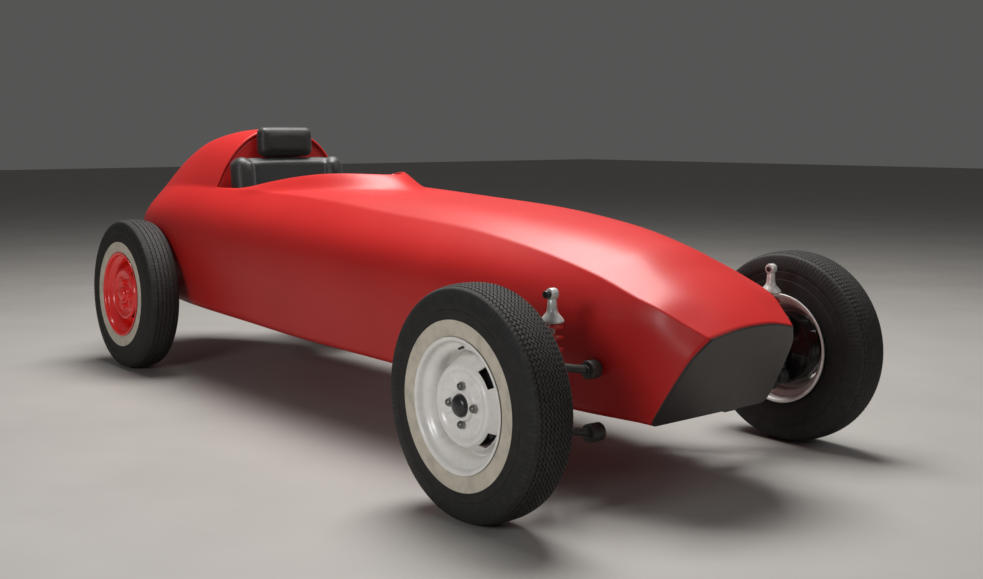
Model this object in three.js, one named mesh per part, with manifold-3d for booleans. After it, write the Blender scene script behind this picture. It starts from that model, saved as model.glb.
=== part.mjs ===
// Open wheel racing car, front engined single seater with a headrest fairing.
// Millimetres, +X forward, +Y to the left, +Z up, ground at z = 0.
// Inside the car group, x = 0 is the rear axle line.
import * as THREE from 'three';
import { mergeVertices } from 'three/addons/utils/BufferGeometryUtils.js';
import Module from 'manifold-3d';

const wasm = await Module();
wasm.setup();

// ---------------------------------------------------------------- driving dimensions
const X_SHIFT = -1191.15;            // rear axle line to the middle of the car's length
const WHEELBASE = 2539;
const TYRE_R = 310;              // loaded outside radius
const REAR_TYRE_R = 316.2;
const FRONT_HALF_TRACK = 659.7;
const REAR_HALF_TRACK = 493.6;
const REAR_CAMBER_DEG = 1.8;     // top of the wheel leans in
const WHEEL_SEGMENTS = 24;
const KINGPIN_X = 2575;
const KINGPIN_Y = 546;
const UPPER_JOINT_Z = 400;
const LOWER_JOINT_Z = 230;
const TRACK_ROD_X = 2440;
const TRACK_ROD_Z = 276;
const TRACK_ROD_R = 9;
const WALL = 16;                 // thickness of the body panels
const GAP = 0.3;                 // between pieces that touch
const SPLIT_REAR = 400;          // tail panel to cockpit panel
const SPLIT_FRONT = 1620;        // cockpit panel to nose panel
const NOSE_X = 2900;             // nose plate at NOSE_Z
const NOSE_Z = 466;
const NOSE_SLOPE = 0.577;        // x per z along the nose plate
const COCKPIT_A = 832;           // length of the opening ahead of SPLIT_REAR
const COCKPIT_B = 302;           // half width of the opening
const COCKPIT_N = 1.75;          // roundness of the opening's front
const STEER_WHEEL = { x: 985, z: 655, r: 163, tilt: 20 };

// ---------------------------------------------------------------- helpers
const rad = (d) => (d * Math.PI) / 180;

function toSolid(geometry) {
  const g = geometry.clone();
  g.deleteAttribute('normal');
  g.deleteAttribute('uv');
  const m = mergeVertices(g, 1e-4);
  return new wasm.Manifold(new wasm.Mesh({
    numProp: 3,
    vertProperties: new Float32Array(m.attributes.position.array),
    triVerts: new Uint32Array(m.index.array),
  }));
}

function fromSolid(solid) {
  const m = solid.getMesh();
  const g = new THREE.BufferGeometry();
  g.setAttribute('position', new THREE.BufferAttribute(new Float32Array(m.vertProperties), 3));
  g.setIndex(new THREE.BufferAttribute(new Uint32Array(m.triVerts), 1));
  return g;
}

function rows(table, x) {
  const n = table.length;
  if (x <= table[0][0]) return table[0].slice(1);
  if (x >= table[n - 1][0]) return table[n - 1].slice(1);
  let i = 0;
  while (x > table[i + 1][0]) i++;
  const h = table[i + 1][0] - table[i][0];
  const t = (x - table[i][0]) / h;
  const out = [];
  for (let k = 1; k < table[i].length; k++) {
    const d = (j) => (table[j + 1][k] - table[j][k]) / (table[j + 1][0] - table[j][0]);
    const slope = (j) => {
      if (j === 0) return d(0);
      if (j === n - 1) return d(n - 2);
      const a = d(j - 1);
      const b = d(j);
      return a * b <= 0 ? 0 : (2 * a * b) / (a + b);
    };
    const m0 = slope(i) * h;
    const m1 = slope(i + 1) * h;
    const t2 = t * t;
    const t3 = t2 * t;
    out.push((2 * t3 - 3 * t2 + 1) * table[i][k] + (t3 - 2 * t2 + t) * m0
      + (-2 * t3 + 3 * t2) * table[i + 1][k] + (t3 - t2) * m1);
  }
  return out;
}

function bezier(p0, p1, p2, p3, n, out) {
  for (let i = 1; i <= n; i++) {
    const t = i / n;
    const s = 1 - t;
    const a = s * s * s;
    const b = 3 * s * s * t;
    const c = 3 * s * t * t;
    const d = t * t * t;
    out.push([
      a * p0[0] + b * p1[0] + c * p2[0] + d * p3[0],
      a * p0[1] + b * p1[1] + c * p2[1] + d * p3[1],
    ]);
  }
}

// ---------------------------------------------------------------- body sections
// x, crown z, shoulder y, shoulder z, angle above it, angle below it,
// widest half width, its z, lower corner half width, floor z, corner radius
const FRONT_SECTIONS = [
  [400, 800, 304, 774, 18, 40, 411, 580, 372, 272, 45],
  [700, 800, 300, 775, 18, 40, 414, 577, 374, 264, 45],
  [1000, 797, 298, 771, 18, 40, 414, 572, 374, 255, 42],
  [1250, 788, 292, 760, 20, 40, 410, 565, 368, 249, 40],
  [1600, 778, 282, 735, 24, 40, 397, 555, 354, 243, 36],
  [2000, 758, 268, 708, 28, 42, 370, 540, 330, 231, 34],
  [2300, 729, 262, 668, 28, 47, 340, 515, 305, 223, 34],
  [2550, 678, 258, 616, 22, 58, 301, 472, 278, 221, 30],
  [2700, 612, 250, 566, 17, 66, 271, 445, 254, 221, 28],
  [2770, 578, 237, 541, 15, 70, 253, 430, 243, 219, 26],
  [2850, 532, 200, 496, 14, 74, 222, 400, 216, 216, 24],
  [2935, 470, 150, 446, 14, 76, 180, 370, 186, 211, 20],
];
const TAIL_SECTIONS = [
  [-530, 570, 60, 555, 30, 50, 80, 520, 66, 455, 25],
  [-516, 622, 95, 596, 34, 52, 130, 535, 110, 415, 34],
  [-475, 708, 142, 652, 38, 52, 192, 550, 164, 372, 44],
  [-390, 804, 192, 702, 42, 50, 266, 566, 232, 340, 50],
  [-260, 888, 236, 742, 46, 46, 334, 577, 298, 314, 52],
  [-130, 946, 268, 762, 52, 43, 378, 580, 338, 298, 52],
  [0, 986, 288, 771, 57, 41, 399, 580, 358, 288, 50],
  [200, 1011, 300, 776, 62, 40, 409, 580, 368, 278, 48],
  [400, 1018, 304, 777, 66, 40, 411, 580, 372, 272, 45],
];
// how far the cowl round the cockpit stands above the panel
const COWL = [
  [400, 0], [560, 0], [620, 4], [780, 24], [900, 37], [1040, 48], [1200, 55], [1300, 56], [1700, 56],
];
const COWL_RAMP = 0.17;         // width of the ramp, in opening radii

function cowlRise(x, y) {
  const u = (x - SPLIT_REAR) / COCKPIT_A;
  const v = y / COCKPIT_B;
  const rho = (Math.max(0, u) ** COCKPIT_N + Math.abs(v) ** COCKPIT_N) ** (1 / COCKPIT_N);
  const t = Math.min(1, Math.max(0, (rho - 1) / COWL_RAMP));
  const fall = 0.5 * (1 - (1 - t) * (1 - t)) + 0.5 * t * t * (3 - 2 * t);
  return rows(COWL, x)[0] * (1 - fall);
}

// half outline from the crown down the side to the floor's middle line
function halfSection(table, x, inset, counts) {
  let [zt, ys, zs, aA, aB, w, zm, wb, zb, r] = rows(table, x);
  zt -= inset;
  zs -= inset * 0.8;
  ys -= inset * 0.6;
  w -= inset;
  wb -= inset;
  zb += inset;
  const lA = Math.hypot(ys, zt - zs) * 0.4;
  const lB = Math.hypot(w - ys, zs - zm) * 0.42;
  const pts = [[0, zt]];
  bezier([0, zt], [ys * 0.52, zt], [ys - lA * Math.cos(rad(aA)), zs + lA * Math.sin(rad(aA))],
    [ys, zs], counts[0], pts);
  bezier([ys, zs], [ys + lB * Math.cos(rad(aB)), zs - lB * Math.sin(rad(aB))],
    [w, zm + (zs - zm) * 0.42], [w, zm], counts[1], pts);
  bezier([w, zm], [w, zm - (zm - zb) * 0.4], [wb + (w - wb) * 0.25, zb + r + (zm - zb - r) * 0.3],
    [wb, zb + r], counts[2], pts);
  bezier([wb, zb + r], [wb, zb + r * 0.45], [wb - r * 0.45, zb], [wb - r, zb], counts[3], pts);
  pts.push([0, zb]);
  if (table === FRONT_SECTIONS) {
    for (const p of pts) if (p[1] > zm + 60) p[1] += cowlRise(x, p[0]) * Math.min(1, (p[1] - zm - 60) / 60);
  }
  return pts;
}

function loft(table, xs, inset, counts) {
  const rings = xs.map((x) => {
    const half = halfSection(table, x, inset, counts);
    const ring = half.map(([y, z]) => [x, y, z]);
    for (let i = half.length - 2; i > 0; i--) ring.push([x, -half[i][0], half[i][1]]);
    return ring;
  });
  const n = rings[0].length;
  const pos = [];
  const idx = [];
  for (const ring of rings) for (const p of ring) pos.push(...p);
  for (let s = 0; s + 1 < rings.length; s++) {
    for (let i = 0; i < n; i++) {
      const a = s * n + i;
      const b = s * n + ((i + 1) % n);
      const c = a + n;
      const d = b + n;
      idx.push(a, c, b, b, c, d);
    }
  }
  const capCentre = (ring) => {
    const zs = ring.map((p) => p[2]);
    return [ring[0][0], 0, (Math.min(...zs) + Math.max(...zs)) / 2];
  };
  const c0 = pos.length / 3;
  pos.push(...capCentre(rings[0]), ...capCentre(rings[rings.length - 1]));
  const last = (rings.length - 1) * n;
  for (let i = 0; i < n; i++) {
    const j = (i + 1) % n;
    idx.push(c0, i, j);
    idx.push(c0 + 1, last + j, last + i);
  }
  // faces point out of the body
  const solid = new wasm.Manifold(new wasm.Mesh({
    numProp: 3, vertProperties: new Float32Array(pos), triVerts: new Uint32Array(idx),
  }));
  return solid;
}

const steps = (a, b, n) => Array.from({ length: n + 1 }, (_, i) => a + ((b - a) * i) / n);
const COUNTS = [5, 4, 2, 2];
const INNER_COUNTS = [4, 3, 2, 1];

// a prism whose outline lies in the XZ plane, spanning y0..y1
function prismXZ(points, y0, y1) {
  const shape = new THREE.Shape(points.map(([x, z]) => new THREE.Vector2(x, z)));
  const g = new THREE.ExtrudeGeometry(shape, { depth: y1 - y0, bevelEnabled: false });
  g.rotateX(Math.PI / 2);
  g.translate(0, y1, 0);
  return g;
}

// a prism whose outline lies in the XY plane, spanning z0..z1
function prismXY(points, z0, z1) {
  const shape = new THREE.Shape(points.map(([x, y]) => new THREE.Vector2(x, y)));
  const g = new THREE.ExtrudeGeometry(shape, { depth: z1 - z0, bevelEnabled: false });
  g.translate(0, 0, z0);
  return g;
}

// a plate whose outline lies in the YZ plane, spanning x0..x1
function plateYZ(points, x0, x1) {
  const shape = new THREE.Shape(points.map(([y, z]) => new THREE.Vector2(y, z)));
  const g = new THREE.ExtrudeGeometry(shape, { depth: x1 - x0, bevelEnabled: false });
  g.rotateX(Math.PI / 2);
  g.rotateZ(Math.PI / 2);
  g.translate(x0, 0, 0);
  return g;
}

function box(x0, x1, y0, y1, z0, z1) {
  const g = new THREE.BoxGeometry(x1 - x0, y1 - y0, z1 - z0);
  g.translate((x0 + x1) / 2, (y0 + y1) / 2, (z0 + z1) / 2);
  return g;
}

function rod(a, b, r, sides = 10, r2 = r) {
  const va = new THREE.Vector3(...a);
  const vb = new THREE.Vector3(...b);
  const g = new THREE.CylinderGeometry(r2, r, va.distanceTo(vb), sides);
  const q = new THREE.Quaternion().setFromUnitVectors(
    new THREE.Vector3(0, 1, 0), vb.clone().sub(va).normalize());
  g.applyQuaternion(q);
  const m = va.add(vb).multiplyScalar(0.5);
  g.translate(m.x, m.y, m.z);
  return g;
}

const join = (...gs) => gs.map((g) => (g.isBufferGeometry ? toSolid(g) : g)).reduce((a, b) => a.add(b));

const red = { color: 0xd8343a, roughness: 0.28, metalness: 0.0 };
const darkRed = { color: 0xc02a30, roughness: 0.3, metalness: 0.0 };
const plate = { color: 0x38302c, roughness: 0.45, metalness: 0.1 };
const vinyl = { color: 0x3a3b3c, roughness: 0.6, metalness: 0.0 };
const black = { color: 0x1c1c1d, roughness: 0.85, metalness: 0.0 };
const silver = { color: 0xb9b7b2, roughness: 0.35, metalness: 0.5 };
const pale = { color: 0xc8c6c0, roughness: 0.4, metalness: 0.3 };
const dark = { color: 0x323735, roughness: 0.5, metalness: 0.4 };
const grey = { color: 0x6d6f70, roughness: 0.45, metalness: 0.6 };

const group = new THREE.Group();
const car = new THREE.Group();
car.position.set(X_SHIFT, 0, 0);
group.add(car);

function piece(name, geometry, finish, parent = car) {
  const g = geometry.isBufferGeometry ? geometry : fromSolid(geometry);
  const mesh = new THREE.Mesh(g, new THREE.MeshStandardMaterial({ ...finish, flatShading: true }));
  mesh.name = name;
  parent.add(mesh);
  return mesh;
}

// ---------------------------------------------------------------- body panels
function openingPrism(grow, x0, z0, z1) {
  const pts = [];
  const a = COCKPIT_A + grow;
  const b = COCKPIT_B + grow;
  const n = 14;
  for (let i = 0; i <= n; i++) {
    const t = -Math.PI / 2 + (Math.PI * i) / n;
    const e = 2 / COCKPIT_N;
    pts.push([SPLIT_REAR + a * Math.max(0, Math.cos(t)) ** e, b * Math.sign(Math.sin(t)) * Math.abs(Math.sin(t)) ** e]);
  }
  pts.push([x0, b], [x0, -b]);
  return toSolid(prismXY(pts, z0, z1));
}

// the floor opening that the undertray closes
const TRAY_HALF = 180;
const TRAY_X0 = -250;
const TRAY_X1 = 2640;
const floorZ = (x) => rows(x < SPLIT_REAR ? TAIL_SECTIONS : FRONT_SECTIONS, x)[8];
const floorCut = (x0, x1) => toSolid(box(x0, x1, -TRAY_HALF, TRAY_HALF, 150, 420));

const noseXs = [...steps(SPLIT_FRONT + GAP, 2600, 5), 2665, 2720, 2770, 2815, 2860, 2900, 2935];
const noseOuter = loft(FRONT_SECTIONS, noseXs, 0, COUNTS);
const noseInner = loft(FRONT_SECTIONS, [SPLIT_FRONT - 5, 1830, 2030, 2230, 2430, 2600, 2720, 2815, 2955], WALL, INNER_COUNTS);
const beyondNose = (back) => {
  const at = (z) => NOSE_X + (z - NOSE_Z) * NOSE_SLOPE - back;
  return toSolid(prismXZ([[at(100), 100], [3200, 100], [3200, 700], [at(700), 700]], -400, 400));
};
const PLATE_T = 5;
let nose = noseOuter.subtract(noseInner).subtract(beyondNose(PLATE_T + GAP));
nose = nose.subtract(floorCut(SPLIT_FRONT - 10, TRAY_X1));
// clearance holes for the track rod
nose = nose.subtract(toSolid(rod([TRACK_ROD_X, -450, TRACK_ROD_Z], [TRACK_ROD_X, 450, TRACK_ROD_Z], 17, 12)));
piece('body_nose', nose, red);

const platePanel = noseOuter.intersect(beyondNose(PLATE_T)).subtract(beyondNose(0));
piece('nose_plate', platePanel, plate);

const cockpitXs = steps(SPLIT_REAR + GAP, SPLIT_FRONT, 10);
let cockpit = loft(FRONT_SECTIONS, cockpitXs, 0, COUNTS)
  .subtract(loft(FRONT_SECTIONS, [SPLIT_REAR - 5, 644, 888, 1010, 1132, 1254, 1376, SPLIT_FRONT + 6], WALL, INNER_COUNTS));
cockpit = cockpit.subtract(openingPrism(0, 300, 640, 1100));
cockpit = cockpit.subtract(floorCut(SPLIT_REAR - 20, SPLIT_FRONT + 20));
piece('body_cockpit', cockpit, red);

const tailXs = [-530, -516, -475, -400, -300, -170, 0, 200, SPLIT_REAR];
const TAIL_WALL = 16;
let tail = loft(TAIL_SECTIONS, tailXs, 0, COUNTS)
  .subtract(loft(TAIL_SECTIONS, [-490, -455, -400, -300, -170, 0, SPLIT_REAR + 6], TAIL_WALL, INNER_COUNTS));
tail = tail.subtract(floorCut(TRAY_X0, SPLIT_REAR + 20));
// holes in both sides for the axle
tail = tail.subtract(toSolid(rod([0, -460, REAR_TYRE_R], [0, 460, REAR_TYRE_R], 52, 14)));
piece('body_tail', tail, red);

// undertray: a flat panel that follows the floor line
{
  const xs = [TRAY_X0 + 1, -150, 0, 200, 400, 700, 1000, 1250, 1620, 2000, 2300, TRAY_X1 - 1];
  const low = xs.map((x) => [x, floorZ(x) + 1]);
  const high = xs.map((x) => [x, floorZ(x) + 7]).reverse();
  piece('undertray', prismXZ([...low, ...high], -TRAY_HALF + 1, TRAY_HALF - 1), dark);
}

// the steering column's line
const columnDir = [Math.cos(rad(STEER_WHEEL.tilt)), 0, -Math.sin(rad(STEER_WHEEL.tilt))];
const alongColumn = (d) => [STEER_WHEEL.x + columnDir[0] * d, 0, STEER_WHEEL.z + columnDir[2] * d];

// bulkhead behind the seat, closing the fairing's front
function fullOutline(table, x, inset) {
  const half = halfSection(table, x, inset, INNER_COUNTS);
  const ring = half.map(([y, z]) => [y, z]);
  for (let i = half.length - 2; i > 0; i--) ring.push([-half[i][0], half[i][1]]);
  return ring;
}
const bulkOutline = (x, low, table, gap) => {
  const pts = fullOutline(table, x, WALL + gap);
  return toSolid(plateYZ(pts, 0, 10)).intersect(toSolid(box(-1, 11, -600, 600, low, 1200)));
};
piece('seat_bulkhead', bulkOutline(385, 264, TAIL_SECTIONS, 3).translate([384, 0, 0]), darkRed);
piece('dashboard', bulkOutline(1250, 600, FRONT_SECTIONS, 6).translate([1236, 0, 0])
  .subtract(toSolid(rod(alongColumn(200), alongColumn(330), 21, 12))), dark);

// ---------------------------------------------------------------- seat
// bucket seat: back with two round side bolsters, cushion with two side bolsters
function bucketOutline(half, core, bolster, lift) {
  const pts = [];
  const yc = half - bolster;
  for (let i = 0; i <= 6; i++) {
    const t = Math.PI * (-0.5 + i / 6);
    pts.push([yc + bolster * Math.cos(t), lift + bolster * Math.sin(t)]);
  }
  pts.push([yc - bolster * 0.8, core]);
  const mirrored = pts.map(([a, b]) => [-a, b]).reverse();
  return [...pts, ...mirrored];
}
{
  // back: section drawn across the car, swept up along the reclined back
  const pts = bucketOutline(257, 52, 46, 46);
  const shape = new THREE.Shape(pts.map(([a, b]) => new THREE.Vector2(a, b)));
  const g = new THREE.ExtrudeGeometry(shape, { depth: 508, bevelEnabled: false });
  // shape x -> -Y, shape y -> +X, extrusion -> +Z
  g.rotateZ(-Math.PI / 2);
  g.rotateY(rad(-6));
  g.translate(463, 0, 382);
  piece('seat_back', g, vinyl);
  const c = bucketOutline(257, 60, 44, 58);
  const cushionShape = new THREE.Shape(c.map(([a, b]) => new THREE.Vector2(a, b)));
  const cg = new THREE.ExtrudeGeometry(cushionShape, { depth: 400, bevelEnabled: false });
  // shape x -> Y, shape y -> Z, extrusion -> X
  cg.rotateX(Math.PI / 2);
  cg.rotateZ(Math.PI / 2);
  cg.rotateY(rad(-6));
  cg.translate(564, 0, 290);
  piece('seat_cushion', cg, vinyl);
}
{
  const pts = [[-118, 0], [118, 0], [124, 20], [124, 106], [112, 122], [-112, 122], [-124, 106], [-124, 20]];
  piece('headrest', join(plateYZ(pts.map(([y, z]) => [y, z + 901]), 402, 462), box(394.4, 410, -60, 60, 925, 985)), vinyl);
}

// ---------------------------------------------------------------- engine and steering column
piece('engine_block', box(1720, 2260, -185, 185, 262, 640), grey);

piece('steering_column', join(
  rod(alongColumn(34), alongColumn(330), 17, 10),
  rod(alongColumn(244), alongColumn(250), 40, 12),
), dark);
{
  const g = new THREE.TorusGeometry(STEER_WHEEL.r, 11, 6, 20);
  const spokes = [0, 120, 240].map((a) => {
    const s = new THREE.BoxGeometry(STEER_WHEEL.r, 26, 6);
    s.translate(STEER_WHEEL.r / 2, 0, 0);
    s.rotateZ(rad(a + 90));
    return s;
  });
  const hub = new THREE.CylinderGeometry(34, 30, 26, 16);
  hub.rotateX(Math.PI / 2);
  const wheel = join(g, ...spokes, hub);
  const m = piece('steering_wheel', wheel, dark);
  m.position.set(STEER_WHEEL.x, 0, STEER_WHEEL.z);
  m.rotation.set(0, rad(90 + STEER_WHEEL.tilt), 0);
}

// ---------------------------------------------------------------- wheels
// profile points are [radius, offset], offset positive towards the outside of the car
function lathe(profile, segments, closed) {
  const pts = profile.map(([r, o]) => new THREE.Vector2(r, o));
  if (closed) pts.push(pts[0].clone());
  const g = new THREE.LatheGeometry(pts, segments);
  // lathe axis +Y is the wheel's outward axis
  return g;
}

function wheelSet(tag, x, side, halfTrack, radius, camber, rimFinish) {
  const k = 1 / Math.cos(Math.PI / WHEEL_SEGMENTS);
  const R = radius;
  const tyreProfile = [
    [R * k, 30], [R * 0.967 * k, 58.6], [R - 62, 68.4], [222, 67.5], [178, 60], [169, 56],
    [169, -56], [178, -60], [222, -67.5], [R - 62, -68.4], [R * 0.967 * k, -58.6], [R * k, -30],
  ];
  const rimProfile = [
    [0, 46], [32, 44], [60, 35], [104, 31], [128, 14], [136, 30], [159, 47], [163, 68],
    [177.3, 70], [167, 63.5], [166, 48], [141, 33], [141, -36], [166, -51], [168, -74],
    [177.3, -79], [161, -76], [136, -39], [136, 6], [104, 24], [60, 28], [0, 28],
  ];
  const drumProfile = [
    [0, -4], [18, -4], [18, -55], [106, -55], [112, -49], [112, -2], [100, 12], [50, 27.6], [0, 27.6],
  ];
  const theta = rad(camber);
  const shoulder = Math.max(...tyreProfile.map(([r, o]) =>
    r * Math.cos(Math.PI / WHEEL_SEGMENTS) * Math.cos(theta) + Math.abs(o) * Math.sin(theta)));
  const hub = new THREE.Group();
  hub.position.set(x, side * halfTrack, shoulder);
  // outward axis is +Y on the left and -Y on the right, with the top leaning in
  hub.rotation.set(side > 0 ? theta : Math.PI - theta, 0, 0);
  car.add(hub);
  const turn = Math.PI / WHEEL_SEGMENTS;
  const tyre = lathe(tyreProfile, WHEEL_SEGMENTS, true).rotateY(turn);
  const rim = lathe(rimProfile.slice().reverse(), WHEEL_SEGMENTS).rotateY(turn);
  const drum = lathe(drumProfile, 16);
  piece(`tyre_${tag}`, tyre, black, hub);
  piece(`wheel_${tag}`, rim, rimFinish, hub);
  piece(`brake_drum_${tag}`, drum, dark, hub);
  return shoulder;
}
const frontZ = wheelSet('front_right', WHEELBASE, -1, FRONT_HALF_TRACK, TYRE_R, 0, silver);
wheelSet('front_left', WHEELBASE, 1, FRONT_HALF_TRACK, TYRE_R, 0, silver);
const rearZ = wheelSet('rear_right', 0, -1, REAR_HALF_TRACK, REAR_TYRE_R, REAR_CAMBER_DEG, red);
wheelSet('rear_left', 0, 1, REAR_HALF_TRACK, REAR_TYRE_R, REAR_CAMBER_DEG, red);

// ---------------------------------------------------------------- front suspension
for (const [side, tag] of [[-1, 'right'], [1, 'left']]) {
  const s = (p) => [p[0], side * p[1], p[2]];
  const outer = (z) => rod(s([KINGPIN_X, 526, z]), s([KINGPIN_X, 566, z]), 27, 12);
  // each wishbone: an outer joint, two legs and two inner bushes
  const upper = join(
    outer(UPPER_JOINT_Z),
    // the front leg bends back round the spring
    rod(s([KINGPIN_X, 535, UPPER_JOINT_Z]), s([2552, 457, 388]), 11.5, 8),
    rod(s([2551, 462, 389]), s([2600, 312, 362]), 11.5, 8),
    rod(s([KINGPIN_X, 535, UPPER_JOINT_Z]), s([2340, 366, 362]), 11.5, 8),
    rod(s([2600, 328, 362]), s([2600, 291.5, 362]), 26, 12),
    rod(s([2340, 385, 362]), s([2340, 345.5, 362]), 26, 12),
  );
  const lower = join(
    outer(LOWER_JOINT_Z),
    rod(s([KINGPIN_X, 535, LOWER_JOINT_Z]), s([2587, 290, 181]), 11.5, 8),
    rod(s([KINGPIN_X, 535, LOWER_JOINT_Z]), s([2300, 300, 181]), 11.5, 8),
    rod(s([2587, 310, 181]), s([2587, 262, 181]), 26, 12),
    rod(s([2300, 320, 181]), s([2300, 272, 181]), 26, 12),
    // bracket that carries the strut's foot
    box(2577, 2627, Math.min(side * 440, side * 474), Math.max(side * 440, side * 474), 206, 236),
  );
  piece(`upper_wishbone_${tag}`, upper, dark);
  piece(`lower_wishbone_${tag}`, lower, dark);
}

// struts: damper, spring and top eye, leaning a little inwards at the foot
const STRUT_X = 2602;
const STRUT_Y = 457;
const EYE_Z = 581;
for (const [side, tag] of [[-1, 'right'], [1, 'left']]) {
  const y = side * STRUT_Y;
  const column = new THREE.LatheGeometry([
    [0, 237], [21, 237], [21, 262], [27, 262], [27, 268], [14, 268], [14, 506], [30, 508], [32, 514],
    [20, 530], [9, 538], [9, 560], [0, 560],
  ].map(([r, z]) => new THREE.Vector2(r, z)), 14);
  column.rotateX(Math.PI / 2);
  column.translate(STRUT_X, y, 0);
  const lug = rod([STRUT_X, y - 11, EYE_Z], [STRUT_X, y + 11, EYE_Z], 16, 12);
  // bolt through the eye, head outboard
  const bolt = rod([STRUT_X, y + side * 10, EYE_Z], [STRUT_X, y + side * 27, EYE_Z], 10, 10);
  const neck = box(STRUT_X - 12, STRUT_X + 12, y - 10, y + 10, 550, EYE_Z);
  piece(`strut_${tag}`, join(column, lug, neck, bolt), pale);
  // coil spring as one sleeve with ribs
  const inner = 19;
  const profile = [[inner, 270], [inner, 504]];
  const ribs = 4;
  for (let i = 0; i < ribs; i++) {
    const z0 = 504 - (i * 234) / ribs;
    profile.push([25, z0 - 2], [31, z0 - 18], [31, z0 - 38], [25, z0 - 55]);
  }
  const spring = new THREE.LatheGeometry(
    [...profile, profile[0]].map(([r, z]) => new THREE.Vector2(r, z)).reverse(), 10);
  spring.rotateX(Math.PI / 2);
  spring.translate(STRUT_X, y, 0);
  piece(`coil_spring_${tag}`, spring, darkRed);
}

// ---------------------------------------------------------------- knuckles
for (const [side, tag] of [[-1, 'right'], [1, 'left']]) {
  const s = (p) => [p[0], side * p[1], p[2]];
  const post = rod(s([KINGPIN_X, KINGPIN_Y, LOWER_JOINT_Z + 28.5]), s([KINGPIN_X, KINGPIN_Y, UPPER_JOINT_Z - 28.5]), 18, 12);
  const boss = rod(s([WHEELBASE, KINGPIN_Y - 6, frontZ]), s([WHEELBASE, 592, frontZ]), 26, 12);
  const web = box(WHEELBASE - 8, KINGPIN_X, Math.min(side * 532, side * 560), Math.max(side * 532, side * 560), frontZ - 24, frontZ + 24);
  const backing = rod(s([WHEELBASE, 590, frontZ]), s([WHEELBASE, 597, frontZ]), 118, 24);
  const spindle = rod(s([WHEELBASE, 590, frontZ]), s([WHEELBASE, 651, frontZ]), 14, 12);
  const arm = prismXY([
    [KINGPIN_X - 6, side * (KINGPIN_Y + 12)], [KINGPIN_X - 6, side * (KINGPIN_Y - 14)],
    [TRACK_ROD_X - 12, side * 506], [TRACK_ROD_X - 12, side * 532],
  ].sort(() => 0), 292, 306);
  piece(`knuckle_${tag}`, join(post, boss, web, backing, spindle, arm), dark);
}

// track rod: one bar that slides through both sides of the nose
piece('track_rod', join(
  rod([TRACK_ROD_X, -519, TRACK_ROD_Z], [TRACK_ROD_X, 519, TRACK_ROD_Z], TRACK_ROD_R, 10),
  rod([TRACK_ROD_X, -533, TRACK_ROD_Z], [TRACK_ROD_X, -503, TRACK_ROD_Z], TRACK_ROD_R + 1, 10),
  rod([TRACK_ROD_X, 503, TRACK_ROD_Z], [TRACK_ROD_X, 533, TRACK_ROD_Z], TRACK_ROD_R + 1, 10),
), dark);

// ---------------------------------------------------------------- rear axle
piece('rear_axle', join(
  rod([0, -424, rearZ], [0, 424, rearZ], 17, 12),
  rod([0, -80, rearZ + 78], [0, 80, rearZ + 78], 92, 16),
), dark);
for (const [side, tag] of [[-1, 'right'], [1, 'left']]) {
  const theta = rad(REAR_CAMBER_DEG);
  // backing plate square to the leaning wheel
  const at = (o) => [0, side * (REAR_HALF_TRACK + o * Math.cos(theta)), rearZ + o * Math.sin(theta)];
  const platePiece = join(rod(at(-68), at(-62), 118, 24), rod(at(-62), at(-9), 14, 12));
  piece(`rear_backing_plate_${tag}`, platePiece, dark);
  // radius rod inside the tail, from the axle to the bulkhead
  const rodPiece = join(
    rod([36, side * 270, rearZ], [348, side * 270, rearZ], 10, 8),
    rod([350, side * 282, rearZ], [350, side * 258, rearZ], 19, 10),
    rod([36, side * 282, rearZ], [36, side * 258, rearZ], 16, 10),
  );
  piece(`radius_rod_${tag}`, rodPiece, dark);
}

export default group;
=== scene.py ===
import math

import bpy
import bmesh
import numpy as np
from mathutils import Matrix, Vector, Quaternion


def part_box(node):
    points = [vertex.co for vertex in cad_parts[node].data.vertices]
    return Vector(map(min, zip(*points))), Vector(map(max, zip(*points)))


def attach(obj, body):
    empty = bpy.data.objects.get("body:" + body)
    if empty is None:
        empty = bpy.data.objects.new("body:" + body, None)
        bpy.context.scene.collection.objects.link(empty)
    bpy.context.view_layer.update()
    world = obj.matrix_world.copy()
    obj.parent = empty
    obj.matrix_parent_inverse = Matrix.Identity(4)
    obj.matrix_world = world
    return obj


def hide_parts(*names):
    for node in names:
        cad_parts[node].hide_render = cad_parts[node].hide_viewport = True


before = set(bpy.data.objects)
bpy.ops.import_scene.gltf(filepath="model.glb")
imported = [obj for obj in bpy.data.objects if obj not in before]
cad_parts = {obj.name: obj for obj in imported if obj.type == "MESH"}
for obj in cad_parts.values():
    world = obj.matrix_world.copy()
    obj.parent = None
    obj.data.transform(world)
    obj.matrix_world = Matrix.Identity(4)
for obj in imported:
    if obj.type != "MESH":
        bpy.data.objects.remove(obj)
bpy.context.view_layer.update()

S = 0.001
X0 = -1.19115          # rear axle line in the row frame
scene = bpy.context.scene
rad = math.radians

# ------------------------------------------------------------------ camera
cam_data = bpy.data.cameras.new("camera")
cam = bpy.data.objects.new("camera", cam_data)
scene.collection.objects.link(cam)
cam.location = (3.690513, -2.54076, 0.995875)
cam.rotation_euler = (math.pi / 2 - 0.13, 0.0, 0.8815)
cam_data.lens = 43.767
cam_data.sensor_width = 36
cam_data.sensor_fit = "HORIZONTAL"
cam_data.clip_start = 0.05
cam_data.clip_end = 100
scene.camera = cam


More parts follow.
